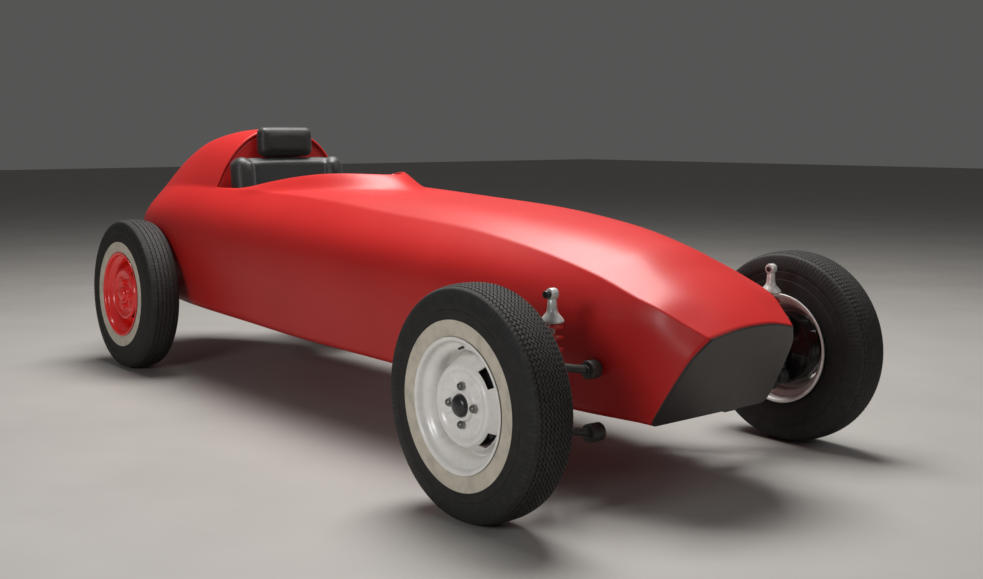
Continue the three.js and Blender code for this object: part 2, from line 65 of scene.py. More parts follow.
# ------------------------------------------------------------------ materials
def finish_material(name, color, color2=None, rough=0.4, rough_var=0.08, metal=0.0, coat=0.0, coat_rough=0.06,
                    scale=6.0, detail=4.0, bump=0.0, bump_scale=300.0, bump_dist=0.0006, grain=False,
                    fine=None, wear=None, specular=0.5, sheen=0.0, dirt=None):
    m = bpy.data.materials.new(name)
    m.use_nodes = True
    nt = m.node_tree
    bsdf = nt.nodes["Principled BSDF"]
    bsdf.inputs["Metallic"].default_value = metal
    bsdf.inputs["Coat Weight"].default_value = coat
    bsdf.inputs["Coat Roughness"].default_value = coat_rough
    bsdf.inputs["Specular IOR Level"].default_value = specular
    if sheen:
        bsdf.inputs["Sheen Weight"].default_value = sheen
    tc = nt.nodes.new("ShaderNodeTexCoord")
    noise = nt.nodes.new("ShaderNodeTexNoise")
    noise.inputs["Scale"].default_value = scale
    noise.inputs["Detail"].default_value = detail
    nt.links.new(tc.outputs["Object"], noise.inputs["Vector"])
    ramp = nt.nodes.new("ShaderNodeValToRGB")
    ramp.color_ramp.elements[0].position = 0.32
    ramp.color_ramp.elements[1].position = 0.68
    c2 = color2 or tuple(c * 0.86 for c in color)
    ramp.color_ramp.elements[0].color = (*c2, 1)
    ramp.color_ramp.elements[1].color = (*color, 1)
    nt.links.new(noise.outputs["Fac"], ramp.inputs["Fac"])
    last = ramp.outputs["Color"]
    if fine:
        # speckle at a smaller scale
        n2 = nt.nodes.new("ShaderNodeTexNoise")
        n2.inputs["Scale"].default_value = fine[1]
        n2.inputs["Detail"].default_value = 3.0
        nt.links.new(tc.outputs["Object"], n2.inputs["Vector"])
        mr = nt.nodes.new("ShaderNodeMapRange")
        mr.inputs["From Min"].default_value = 0.45
        mr.inputs["From Max"].default_value = 0.75
        mr.inputs["To Max"].default_value = fine[2]
        nt.links.new(n2.outputs["Fac"], mr.inputs["Value"])
        mx = nt.nodes.new("ShaderNodeMixRGB")
        mx.inputs["Color2"].default_value = (*fine[0], 1)
        nt.links.new(mr.outputs["Result"], mx.inputs["Fac"])
        nt.links.new(last, mx.inputs["Color1"])
        last = mx.outputs["Color"]
    if wear:
        geo = nt.nodes.new("ShaderNodeNewGeometry")
        mr = nt.nodes.new("ShaderNodeMapRange")
        mr.inputs["From Min"].default_value = 0.53
        mr.inputs["From Max"].default_value = 0.62
        mr.inputs["To Max"].default_value = wear[1]
        nt.links.new(geo.outputs["Pointiness"], mr.inputs["Value"])
        mx = nt.nodes.new("ShaderNodeMixRGB")
        mx.inputs["Color2"].default_value = (*wear[0], 1)
        nt.links.new(mr.outputs["Result"], mx.inputs["Fac"])
        nt.links.new(last, mx.inputs["Color1"])
        last = mx.outputs["Color"]
    nt.links.new(last, bsdf.inputs["Base Color"])
    rr = nt.nodes.new("ShaderNodeMapRange")
    rr.inputs["To Min"].default_value = max(0.02, rough - rough_var)
    rr.inputs["To Max"].default_value = min(1.0, rough + rough_var)
    n3 = nt.nodes.new("ShaderNodeTexNoise")
    n3.inputs["Scale"].default_value = scale * 5
    n3.inputs["Detail"].default_value = 5
    nt.links.new(tc.outputs["Object"], n3.inputs["Vector"])
    nt.links.new(n3.outputs["Fac"], rr.inputs["Value"])
    nt.links.new(rr.outputs["Result"], bsdf.inputs["Roughness"])
    if bump:
        b = nt.nodes.new("ShaderNodeBump")
        b.inputs["Strength"].default_value = bump
        b.inputs["Distance"].default_value = bump_dist
        if grain:
            v = nt.nodes.new("ShaderNodeTexVoronoi")
            v.inputs["Scale"].default_value = bump_scale
            nt.links.new(tc.outputs["Object"], v.inputs["Vector"])
            nt.links.new(v.outputs["Distance"], b.inputs["Height"])
        else:
            v = nt.nodes.new("ShaderNodeTexNoise")
            v.inputs["Scale"].default_value = bump_scale
            v.inputs["Detail"].default_value = 3
            nt.links.new(tc.outputs["Object"], v.inputs["Vector"])
            nt.links.new(v.outputs["Fac"], b.inputs["Height"])
        nt.links.new(b.outputs["Normal"], bsdf.inputs["Normal"])
    return m


M_PAINT = finish_material("body_paint", (0.55, 0.019, 0.017), (0.50, 0.015, 0.014), rough=0.44, rough_var=0.03,
                          coat=0.10, coat_rough=0.24, scale=2.5, bump=0.05, bump_scale=420, bump_dist=0.0004,
                          specular=0.30)
# seat bulkhead in the body's red, set lighter than the body paint: the extra lightness is painted light on a panel that
# sits in shade
M_BULKHEAD_RED_WITH_PAINTED_LIGHT = finish_material("bulkhead_red_with_painted_light", (0.66, 0.022, 0.020), (0.60, 0.017, 0.016), rough=0.42, rough_var=0.05,
                              coat=0.2, coat_rough=0.2, scale=4, bump=0.05, bump_scale=300)
M_PLATE = finish_material("nose_plate", (0.018, 0.011, 0.010), (0.014, 0.009, 0.008), rough=0.42, rough_var=0.06,
                          coat=0.15, coat_rough=0.3, scale=5, bump=0.12, bump_scale=900, bump_dist=0.0003,
                          fine=((0.045, 0.030, 0.027), 380, 0.4))
M_VINYL = finish_material("vinyl", (0.032, 0.032, 0.0315), (0.024, 0.024, 0.0235), rough=0.46, rough_var=0.07,
                          scale=9, bump=0.22, bump_scale=520, bump_dist=0.0005, grain=True, sheen=0.08)
M_TYRE = finish_material("tyre_rubber", (0.010, 0.0098, 0.0096), (0.007, 0.007, 0.0069), rough=0.70, rough_var=0.08,
                         scale=14, bump=0.2, bump_scale=800, bump_dist=0.0003, fine=((0.040, 0.037, 0.034), 46, 0.3))
M_TREAD = finish_material("tread_rubber", (0.022, 0.020, 0.018), (0.015, 0.014, 0.013), rough=0.82, rough_var=0.08,
                          scale=20, bump=0.35, bump_scale=600, bump_dist=0.0004, fine=((0.075, 0.070, 0.064), 90, 0.35))
M_WHITEWALL = finish_material("whitewall", (0.66, 0.605, 0.50), (0.58, 0.53, 0.44), rough=0.62, rough_var=0.08,
                              scale=11, bump=0.12, bump_scale=700, bump_dist=0.0003,
                              fine=((0.22, 0.20, 0.175), 30, 0.35))
# front wheels' light silver paint, set lighter still: part of this lightness is painted light for light falling on the
# wheel faces
M_SILVER = finish_material("wheel_silver", (0.92, 0.90, 0.865), (0.85, 0.83, 0.80), rough=0.30, rough_var=0.05,
                           metal=0.0, coat=0.3, coat_rough=0.12, scale=9, bump=0.05, bump_scale=500,
                           fine=((0.55, 0.53, 0.50), 60, 0.2))
# rear wheels' red paint, set far lighter than the body's red: the extra lightness is painted light for light falling on
# the wheel faces
M_WHEELRED = finish_material("wheel_red", (0.95, 0.034, 0.029), (0.88, 0.028, 0.025), rough=0.30, rough_var=0.04,
                             coat=0.4, coat_rough=0.1, scale=9, bump=0.05, bump_scale=500,
                             fine=((0.60, 0.018, 0.018), 60, 0.2))
M_STRUT = finish_material("strut_metal", (0.66, 0.65, 0.62), (0.56, 0.55, 0.52), rough=0.36, rough_var=0.07, metal=0.25,
                          scale=20, bump=0.08, bump_scale=600, wear=((0.30, 0.29, 0.27), 0.5),
                          fine=((0.38, 0.37, 0.35), 120, 0.25))
M_SPRING = finish_material("spring_paint", (0.64, 0.028, 0.022), (0.52, 0.02, 0.018), rough=0.34, rough_var=0.06,
                           coat=0.3, scale=30, bump=0.1, bump_scale=500)
M_DARK = finish_material("chassis_dark", (0.055, 0.060, 0.057), (0.034, 0.037, 0.036), rough=0.48, rough_var=0.1,
                         metal=0.35, scale=16, bump=0.15, bump_scale=450, wear=((0.16, 0.16, 0.155), 0.6),
                         fine=((0.085, 0.082, 0.074), 110, 0.35))
M_BOLT = finish_material("bolt_dark", (0.040, 0.041, 0.042), (0.022, 0.022, 0.024), rough=0.36, rough_var=0.08,
                         metal=0.7, scale=40, bump=0.12, bump_scale=700, wear=((0.18, 0.18, 0.18), 0.5))
M_NUT = finish_material("nut_steel", (0.20, 0.195, 0.185), (0.12, 0.118, 0.112), rough=0.34, rough_var=0.08,
                        metal=0.8, scale=40, bump=0.12, bump_scale=700, wear=((0.42, 0.41, 0.40), 0.5))
M_DRUM = finish_material("drum_black", (0.016, 0.016, 0.017), (0.011, 0.011, 0.012), rough=0.22, rough_var=0.05,
                         metal=0.3, coat=0.5, coat_rough=0.08, scale=12, bump=0.05, bump_scale=300)
M_CAP = finish_material("cap_black", (0.022, 0.022, 0.023), (0.015, 0.015, 0.016), rough=0.32, rough_var=0.06,
                        coat=0.2, coat_rough=0.15, scale=30, bump=0.08, bump_scale=500)
M_ENGINE = finish_material("engine_cast", (0.20, 0.205, 0.21), (0.13, 0.133, 0.137), rough=0.55, rough_var=0.1,
                           metal=0.7, scale=12, bump=0.4, bump_scale=260, bump_dist=0.0008,
                           fine=((0.08, 0.075, 0.07), 35, 0.4))
M_LINING = finish_material("cockpit_lining", (0.030, 0.029, 0.029), (0.020, 0.020, 0.020), rough=0.7, rough_var=0.08,
                           scale=8, bump=0.2, bump_scale=500, bump_dist=0.0005, fine=((0.05, 0.048, 0.046), 160, 0.4))
M_LEATHER = finish_material("wheel_leather", (0.035, 0.030, 0.027), (0.022, 0.019, 0.017), rough=0.5, rough_var=0.1,
                            scale=30, bump=0.35, bump_scale=420, bump_dist=0.0006, grain=True)
M_TRAY = finish_material("undertray", (0.040, 0.042, 0.042), (0.026, 0.027, 0.027), rough=0.55, rough_var=0.1,
                         metal=0.3, scale=5, bump=0.15, bump_scale=240, fine=((0.09, 0.085, 0.075), 26, 0.4))
M_DIAL = finish_material("dial_face", (0.018, 0.018, 0.018), (0.012, 0.012, 0.012), rough=0.2, rough_var=0.04,
                         coat=0.8, coat_rough=0.03, scale=30, bump=0.03, bump_scale=300)
M_CHROME = finish_material("bright_trim", (0.62, 0.61, 0.59), (0.52, 0.51, 0.49), rough=0.16, rough_var=0.05,
                           metal=0.95, scale=30, bump=0.04, bump_scale=500)
M_BOOT = finish_material("rubber_boot", (0.022, 0.022, 0.022), (0.015, 0.015, 0.015), rough=0.7, rough_var=0.08,
                         scale=30, bump=0.2, bump_scale=600)


# ------------------------------------------------------------------ mesh helpers
def new_object(name, verts, faces, mats, index=None, angle=32.0, weld=0.0, flat=False):
    me = bpy.data.meshes.new(name)
    me.from_pydata([tuple(map(float, v)) for v in verts], [], [tuple(map(int, f)) for f in faces])
    me.update()
    for m in mats:
        me.materials.append(m)
    if index is not None:
        me.polygons.foreach_set("material_index", np.array(index, np.int32))
    if weld:
        bm = bmesh.new()
        bm.from_mesh(me)
        bmesh.ops.remove_doubles(bm, verts=bm.verts, dist=weld)
        bmesh.ops.dissolve_degenerate(bm, edges=bm.edges, dist=1e-7)
        bm.to_mesh(me)
        bm.free()
    if not flat:
        me.shade_smooth()
        if angle is not None and angle < 179:
            me.set_sharp_from_angle(angle=rad(angle))
    o = bpy.data.objects.new(name, me)
    scene.collection.objects.link(o)
    return o


def apply_modifiers(o):
    dg = bpy.context.evaluated_depsgraph_get()
    me = bpy.data.meshes.new_from_object(o.evaluated_get(dg), depsgraph=dg)
    o.modifiers.clear()
    old = o.data
    o.data = me
    me.name = o.name
    bpy.data.meshes.remove(old)


def place(o, body, nodes=()):
    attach(o, body)
    if nodes:
        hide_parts(*nodes)
    return o


class Part:
    """Collects geometry of one piece; millimetres, in the design frame unless a matrix is given."""

    def __init__(self):
        self.v, self.f, self.m = [], [], []

    def add(self, verts, faces, mi=0, M=None):
        base = len(self.v)
        for p in verts:
            q = M @ Vector(p) if M is not None else Vector(p)
            self.v.append(q)
        for f in faces:
            self.f.append([i + base for i in f])
            self.m.append(mi)

    def lathe(self, prof, n=40, M=None, mi=0, closed=False, phase=0.0):
        # profile of (radius, offset along +Y); radius 0 ends become one point
        verts, rings = [], []
        for r, o in prof:
            if r < 1e-6:
                rings.append([len(verts)])
                verts.append((0, o, 0))
            else:
                rings.append(list(range(len(verts), len(verts) + n)))
                for i in range(n):
                    a = 2 * math.pi * (i + phase) / n
                    verts.append((r * math.cos(a), o, r * math.sin(a)))
        faces = []
        pairs = list(zip(rings, rings[1:])) + ([(rings[-1], rings[0])] if closed else [])
        for a, b in pairs:
            for i in range(n):
                j = (i + 1) % n
                if len(a) == 1 and len(b) == 1:
                    continue
                if len(a) == 1:
                    faces.append([a[0], b[i], b[j]])
                elif len(b) == 1:
                    faces.append([a[i], b[0], a[j]])
                else:
                    faces.append([a[i], b[i], b[j], a[j]])
        self.add(verts, faces, mi, M)

    def rod(self, a, b, r, r2=None, n=32, ch=1.5, mi=0):
        a, b = Vector(a), Vector(b)
        r2 = r if r2 is None else r2
        L = (b - a).length
        q = Vector((0, 1, 0)).rotation_difference((b - a).normalized())
        M = Matrix.Translation(a) @ q.to_matrix().to_4x4()
        ch = min(ch, r * 0.4, r2 * 0.4, L * 0.3)
        self.lathe([(0, 0), (r - ch, 0), (r - ch * 0.3, ch * 0.3), (r, ch), (r2, L - ch), (r2 - ch * 0.3, L - ch * 0.3),
                    (r2 - ch, L), (0, L)], n, M, mi)

    def tube(self, pts, r, n=14, mi=0, closed=False, cap=True):
        P = [Vector(p) for p in pts]
        N = len(P)
        rr = r if hasattr(r, "__len__") else [r] * N
        verts, faces = [], []
        T = []
        for i in range(N):
            if closed:
                t = P[(i + 1) % N] - P[i - 1]
            else:
                t = P[min(i + 1, N - 1)] - P[max(i - 1, 0)]
            T.append(t.normalized())
        u = T[0].orthogonal().normalized()
        for i in range(N):
            if i:
                q = T[i - 1].rotation_difference(T[i])
                u = (q @ u)
                u = (u - T[i] * u.dot(T[i])).normalized()
            w = T[i].cross(u)
            for k in range(n):
                a = 2 * math.pi * k / n
                verts.append(P[i] + (u * math.cos(a) + w * math.sin(a)) * rr[i])
        for i in range(N if closed else N - 1):
            for k in range(n):
                a, b = i * n + k, i * n + (k + 1) % n
                c, d = ((i + 1) % N) * n + k, ((i + 1) % N) * n + (k + 1) % n
                faces.append([a, b, d, c])
        if not closed and cap:
            faces.append([k for k in range(n)][::-1])
            faces.append([(N - 1) * n + k for k in range(n)])
        self.add(verts, faces, mi)

    def rbox(self, lo, hi, bevel=3.0, seg=3, mi=0, M=None):
        bm = bmesh.new()
        bmesh.ops.create_cube(bm, size=1.0)
        lo, hi = Vector(lo), Vector(hi)
        c, d = (lo + hi) / 2, hi - lo
        for v in bm.verts:
            v.co = Vector((c.x + v.co.x * abs(d.x), c.y + v.co.y * abs(d.y), c.z + v.co.z * abs(d.z)))
        bmesh.ops.bevel(bm, geom=list(bm.edges), offset=bevel, segments=seg, profile=0.5, affect="EDGES")
        bm.verts.index_update()
        self.add([v.co.copy() for v in bm.verts], [[v.index for v in f.verts] for f in bm.faces], mi, M)
        bm.free()

    def make(self, name, mats, body, nodes=(), slot=None, matrix=None, angle=32.0, design=True):
        W = np.array([tuple(p) for p in self.v], float) * S
        if design:
            W[:, 0] += X0
        o = new_object(name, W, self.f, mats if isinstance(mats, (list, tuple)) else [mats], self.m, angle)
        bm = bmesh.new()
        bm.from_mesh(o.data)
        bmesh.ops.recalc_face_normals(bm, faces=bm.faces)
        bm.to_mesh(o.data)
        bm.free()
        if matrix is not None:
            o.data.transform(matrix)
        return place(o, body, nodes)


def smooth(t):
    t = min(1.0, max(0.0, t))
    return t * t * (3 - 2 * t)


# ------------------------------------------------------------------ body sections (design frame, mm)
FRONT = [
    [400, 803, 304, 777, 18, 40, 411, 580, 372, 272, 45], [700, 800, 300, 775, 18, 40, 414, 577, 374, 264, 45],
    [1000, 797, 298, 771, 18, 40, 414, 572, 374, 255, 42], [1250, 788, 292, 760, 20, 40, 410, 565, 368, 249, 40],
    [1600, 778, 282, 735, 24, 40, 397, 555, 354, 243, 36], [2000, 758, 268, 708, 28, 42, 370, 540, 330, 231, 34],
    [2300, 729, 262, 668, 28, 47, 340, 515, 305, 223, 34], [2550, 678, 258, 616, 22, 58, 301, 472, 278, 221, 30],
    [2700, 612, 250, 566, 17, 66, 271, 445, 254, 221, 28], [2770, 578, 237, 541, 15, 70, 253, 430, 243, 219, 26],
    [2850, 532, 200, 496, 14, 74, 222, 400, 216, 216, 24], [2935, 470, 150, 446, 14, 76, 180, 370, 186, 211, 20]]
TAIL = [
    [-530, 570, 60, 555, 30, 50, 80, 520, 66, 455, 25], [-516, 622, 95, 596, 34, 52, 130, 535, 110, 415, 34],
    [-475, 708, 142, 652, 38, 52, 192, 550, 164, 372, 44], [-390, 804, 192, 702, 42, 50, 266, 566, 232, 340, 50],
    [-260, 888, 236, 742, 46, 46, 334, 577, 298, 314, 52], [-130, 946, 268, 762, 52, 43, 378, 580, 338, 298, 52],
    [0, 986, 288, 771, 57, 41, 399, 580, 358, 288, 50], [200, 1011, 300, 776, 62, 40, 409, 580, 368, 278, 48],
    [400, 1018, 304, 777, 66, 40, 411, 580, 372, 272, 45]]
COWL = [[400, 0], [560, 0], [620, 4], [780, 24], [900, 37], [1040, 48], [1200, 55], [1300, 56], [1700, 56]]
OPEN_A, OPEN_B, OPEN_N, RAMP = 832.0, 302.0, 1.75, 0.17
NOSE_X, NOSE_Z, NOSE_SLOPE = 2900.0, 466.0, 0.577


def rows(T, x):
    n = len(T)
    if x <= T[0][0]:
        return list(T[0][1:])
    if x >= T[-1][0]:
        return list(T[-1][1:])
    i = 0
    while x > T[i + 1][0]:
        i += 1
    h = T[i + 1][0] - T[i][0]
    t = (x - T[i][0]) / h
    out = []
    for k in range(1, len(T[i])):
        d = lambda j: (T[j + 1][k] - T[j][k]) / (T[j + 1][0] - T[j][0])

        def sl(j):
            if j == 0:
                return d(0)
            if j == n - 1:
                return d(n - 2)
            a, b = d(j - 1), d(j)
            return 0 if a * b <= 0 else 2 * a * b / (a + b)
        m0, m1 = sl(i) * h, sl(i + 1) * h
        t2, t3 = t * t, t ** 3
        out.append((2 * t3 - 3 * t2 + 1) * T[i][k] + (t3 - 2 * t2 + t) * m0 + (-2 * t3 + 3 * t2) * T[i + 1][k]
                   + (t3 - t2) * m1)
    return out


def cowl(x, y):
    rho = (max(0, (x - 400) / OPEN_A) ** OPEN_N + abs(y / OPEN_B) ** OPEN_N) ** (1 / OPEN_N)
    t = min(1, max(0, (rho - 1.0) / RAMP))
    return rows(COWL, x)[0] * (1 - 0.5 * (1 - (1 - t) ** 2) - 0.5 * smooth(t))


def bez(P, t):
    t = np.asarray(t, float)[:, None]
    s = 1 - t
    p = np.array(P, float)
    return s ** 3 * p[0] + 3 * s * s * t * p[1] + 3 * s * t * t * p[2] + t ** 3 * p[3]


NA, NB, NC, ND, NF = 34, 34, 16, 8, 5
SHOULDER = NA                      # column of the shoulder
NCOL = NA + NB + NC + ND + NF + 1


def outline(T, x, yo=0.0, inset=0.0):
    """Half outline (NCOL points of y, z) from the crown or the opening's edge at y = yo down to the floor's middle."""
    zt, ys, zs, aA, aB, w, zm, wb, zb, r = rows(T, x)
    zt -= inset; zs -= inset * .8; ys -= inset * .6; w -= inset; wb -= inset; zb += inset
    lA = math.hypot(ys, zt - zs) * .4
    lB = math.hypot(w - ys, zs - zm) * .42
    a, b = rad(aA), rad(aB)
    A = [[0, zt], [ys * .52, zt], [ys - lA * math.cos(a), zs + lA * math.sin(a)], [ys, zs]]
    t0 = 0.0
    if yo > 0:
        lo, hi = 0.0, 1.0
        target = min(yo, ys - 0.4)
        for _ in range(40):
            mid = (lo + hi) / 2
            if bez(A, [mid])[0][0] < target:
                lo = mid
            else:
                hi = mid
        t0 = lo
    parts = [bez(A, np.linspace(t0, 1, NA + 1))]
    parts.append(bez([[ys, zs], [ys + lB * math.cos(b), zs - lB * math.sin(b)], [w, zm + (zs - zm) * .42], [w, zm]],
                     np.linspace(0, 1, NB + 1)[1:]))
    parts.append(bez([[w, zm], [w, zm - (zm - zb) * .4], [wb + (w - wb) * .25, zb + r + (zm - zb - r) * .3],
                      [wb, zb + r]], np.linspace(0, 1, NC + 1)[1:]))
    parts.append(bez([[wb, zb + r], [wb, zb + r * .45], [wb - r * .45, zb], [wb - r, zb]],
                     np.linspace(0, 1, ND + 1)[1:]))
    f = np.linspace(0, 1, NF + 1)[1:]
    parts.append(np.stack([(wb - r) * (1 - f), np.full(NF, zb)], 1))
    P = np.concatenate(parts)
    if T is FRONT:
        for p in P:
            if p[1] > zm + 60:
                p[1] += cowl(x, p[0]) * min(1, (p[1] - zm - 60) / 60)
    return P


class Skin:
    """Half skins as grids, mirrored and welded into one mesh."""

    def __init__(self):
        self.v, self.f = [], []

    def grid(self, G, flip=False):
        # G: rows x columns x 3, with rows forward and columns going down the +Y side
        nr, nc = G.shape[:2]
        for side in (1, -1):
            base = len(self.v)
            H = G.reshape(-1, 3) * np.array([1, side, 1])
            self.v.extend(H.tolist())
            for i in range(nr - 1):
                for j in range(nc - 1):
                    q = [base + i * nc + j, base + (i + 1) * nc + j, base + (i + 1) * nc + j + 1, base + i * nc + j + 1]
                    if (side < 0) != flip:
                        q.reverse()
                    self.f.append(q)

    def make(self, name, mats, body, nodes, slot, angle=None, weld=2e-5):
        W = np.array(self.v, float) * S
        W[:, 0] += X0
        o = new_object(name, W, self.f, mats, None, angle, weld=weld)
        return place(o, body, nodes)


def row3(x, P):
    return np.concatenate([np.full((len(P), 1), float(x)), P], 1)


# stations along the opening, closer together at its front
NT = 84
ts = np.linspace(0, math.pi / 2, NT + 1)
open_x = 400 + OPEN_A * np.sin(ts) ** (2 / OPEN_N)
open_y = OPEN_B * np.maximum(0, np.cos(ts)) ** (2 / OPEN_N)
open_y[-1] = 0.0
open_x[-1] = 400 + OPEN_A

front_rows = [row3(x, outline(FRONT, x, y)) for x, y in zip(open_x, open_y)]
xs = list(np.arange(open_x[-1] + 6, 1400, 7.0)) + list(np.arange(1402, 2540, 13.0))
front_rows += [row3(x, outline(FRONT, x)) for x in xs]
# nose: each column ends on the nose plate's plane
NX0 = 2545.0
dense_x = np.linspace(NX0, 2935, 170)
dense = np.array([outline(FRONT, x) for x in dense_x])


def nose_ring(back):
    ends = []
    for j in range(NCOL):
        g = dense_x - (NOSE_X - back + NOSE_SLOPE * (dense[:, j, 1] - NOSE_Z))
        ends.append(float(np.interp(0.0, g, dense_x)))
    return np.array(ends)


def nose_points(xcol):
    return np.array([[xcol[j], np.interp(xcol[j], dense_x, dense[:, j, 0]), np.interp(xcol[j], dense_x, dense[:, j, 1])]
                     for j in range(NCOL)])


end_x = nose_ring(5.4)
for k in range(0, 41):
    tau = k / 40
    front_rows.append(nose_points(NX0 + tau * (end_x - NX0)))
# turn the panel's edge in behind the nose plate
rim = front_rows[-1]
centre = np.array([rim[:, 0].mean(), 0.0, 345.0])
inward = centre - rim
inward /= np.linalg.norm(inward, axis=1)[:, None]
inward[:, 1] = np.where(rim[:, 1] < 1e-6, 0, inward[:, 1])
front_rows.append(rim + inward * 5.0 + np.array([-0.3, 0, 0]))
front_grid = np.array(front_rows)

tail_xs = list(np.arange(-530, -475, 4.5)) + list(np.arange(-475, -260, 8.0)) + list(np.arange(-260, 393, 12.0))
tail_rows = [row3(x, outline(TAIL, x)) for x in tail_xs] + [row3(393.0, outline(TAIL, 393.0))]
# rounded end of the tail
end = tail_rows[0]
mid = np.array([-530.0, 0.0, 517.0])
caps = []
for sc, dx in ((0.0, 0.0), (0.06, 0.0), (0.35, 0.0), (0.62, 0.0), (0.8, 0.0), (0.93, 0.0)):
    caps.append(mid + (end - mid) * np.array([0, sc, sc]) + np.array([dx, 0, 0]))
tail_rows = caps + tail_rows

skin = Skin()
skin.grid(front_grid)
tail_grid = np.array(tail_rows)
# sides of the tail run on to the first row of the cockpit panel
side_join = np.array([tail_grid[-1][SHOULDER:], front_grid[0][SHOULDER:]])
skin.grid(tail_grid)
skin.grid(side_join)
# rolled edge of the fairing's arch, above the shoulder
arch = [tail_grid[-1][:SHOULDER + 1]]
for k in range(1, 9):
    a = math.pi * k / 8
    P = outline(TAIL, 400.0, inset=7.0 * (1 - math.cos(a)))[:SHOULDER + 1]
    arch.append(row3(393.0 + 7.0 * math.sin(a), P))
arch.append(row3(391.0, outline(TAIL, 400.0, inset=16.0)[:SHOULDER + 1]))
arch.append(row3(394.8, outline(TAIL, 400.0, inset=19.0)[:SHOULDER + 1]))
arch.append(row3(394.9, outline(TAIL, 400.0, inset=26.0)[:SHOULDER + 1]))
skin.grid(np.array(arch))
# rolled edge of the opening
edge = front_grid[:NT + 1, 0]
nxt = front_grid[:NT + 1, 1]
tang = np.gradient(edge, axis=0)
tang[-1] = (0, -1, 0)
tang[0] = edge[1] - edge[0]
tang /= np.linalg.norm(tang, axis=1)[:, None]
out_dir = nxt - edge
out_dir /= np.linalg.norm(out_dir, axis=1)[:, None]
out_dir[0] = (0, 0.93, -0.36)
out_dir -= (out_dir * tang).sum(1)[:, None] * tang
out_dir /= np.linalg.norm(out_dir, axis=1)[:, None]
nrm = np.cross(tang, out_dir)
nrm *= np.sign(nrm[:, 2])[:, None]
LIP = 7.0
lip = [edge]
for k in range(1, 9):
    a = math.pi * k / 8
    p = edge - out_dir * LIP * math.sin(a) - nrm * LIP * (1 - math.cos(a))
    p[-1, 1] = 0.0
    lip.append(p)
lip_grid = np.array(lip).transpose(1, 0, 2)
skin.grid(lip_grid, flip=True)
body_shell = skin.make("body_shell", [M_PAINT], "root", ["body_nose", "body_cockpit", "body_tail"], "body_paint")

# inside of the cockpit, from the edge of the opening down to the floor
lining = Skin()
lin_rows = []
for i, (x, y) in enumerate(zip(open_x, open_y)):
    P = row3(x, outline(FRONT, x, y, inset=16.0))
    P[0] = lip_grid[i, -1]
    lin_rows.append(P)
for x in np.arange(1240, 1330, 12.0):
    lin_rows.append(row3(x, outline(FRONT, x, inset=16.0)))
lining.grid(np.array(lin_rows), flip=True)
lin0 = lin_rows[0]
lining.grid(np.array([row3(395.0, lin0[:, 1:]), lin0]), flip=True)
lining.make("cockpit_lining", [M_LINING], "root", (), "chassis_dark")

# nose plate
ring0 = nose_points(nose_ring(0.0))
ringB = nose_points(nose_ring(5.0))
ringF = nose_points(nose_ring(1.6))
pc = np.array([NOSE_X + NOSE_SLOPE * (345.0 - NOSE_Z), 0.0, 345.0])
toc = pc - ring0
dist = np.linalg.norm(toc, axis=1)[:, None]
toc /= dist
back = np.array([-1.0, 0.0, NOSE_SLOPE])
back /= np.linalg.norm(back)
plate = Skin()
rings = [ringB + (pc - ringB) * 0.12, ringB, ringF, ring0 + toc * 0.5 + back * 0.45, ring0 + toc * 1.5 + back * 0.08]
for sc in (0.955, 0.85, 0.66, 0.42, 0.2, 0.06, 0.0):
    rings.append(pc + (ring0 - pc) * sc)
plate.grid(np.array(rings))
plate_obj = plate.make("nose_plate_panel", [M_PLATE], "root", ["nose_plate"], "nose_plate", angle=50)

# ------------------------------------------------------------------ wheels
def wheel_matrix(x, y, z, theta, side):
    a = theta if side > 0 else math.pi - theta
    return Matrix.Translation(Vector((x, y, z))) @ Matrix.Rotation(a, 4, "X")


WHEELS = []
for tag, x, side, half, R, camber in (
        ("front_right", 2539, -1, 659.7, 310.0, 0.0), ("front_left", 2539, 1, 659.7, 310.0, 0.0),
        ("rear_right", 0, -1, 493.6, 316.2, 1.8), ("rear_left", 0, 1, 493.6, 316.2, 1.8)):
    theta = rad(camber)
    z = 310.0 if camber == 0 else 316.986
    WHEELS.append((tag, side, R, wheel_matrix(x * S + X0, side * half * S, z * S, theta, side), camber == 0))


def tyre_columns(R, style):
    """Columns across the tyre from the outboard bead to the inboard bead: (radius, offset, zigzag weight and sign, zone)."""
    def tread_r(o):
        return R - 10.2 * (abs(o) / 58.6) ** 2.6
    side = [(171.4, 57.0, 1), (175.6, 62.2, 2), (178.4, 64.9, 2), (181.5, 66.2, 2), (187.0, 67.3, 2), (198.0, 68.2, 2),
            (210.0, 68.8, 2), (219.0, 68.9, 2), (221.2, 68.7, 2), (222.4, 67.7, 0), (228.0, 68.0, 0),
            (R - 63.5, 68.4, 0), (R - 62.2, 67.3, 0), (R - 60.2, 67.3, 0), (R - 58.8, 68.3, 0), (R - 50, 68.2, 0),
            (R - 41, 67.6, 0), (R - 35, 67.0, 3), (R - 27, 65.6, 3), (R - 20.5, 63.9, 3), (R - 15.5, 61.9, 3),
            (R - 12.2, 60.0, 0)]
    cols = [(r, o, 0.0, z) for r, o, z in side]
    cols.append((tread_r(57.2), 57.4, 0.0, 4))
    grooves, amp = (9, 3.7) if style == "front" else (5, 2.2)
    pitch = 11.6 if style == "front" else 17.5
    depth, top, bottom = 4.6, 1.9, 1.15
    for g in range(grooves):
        o = (grooves - 1) * pitch / 2 - g * pitch
        sign = 1
        for d, deep in ((top, 0), (bottom, 1), (-bottom, 1), (-top, 0)):
            cols.append((tread_r(o + d) - (depth if deep else 0), o + d, amp * sign, 4))
        if style != "front" and g < grooves - 1:
            cols.append((tread_r(o - pitch / 2), o - pitch / 2, 0.0, 4))
    cols.append((tread_r(57.2), -57.4, 0.0, 4))
    for r, o, z in reversed(side):
        cols.append((r, -o, 0.0, 0 if z == 2 else z))
    return cols


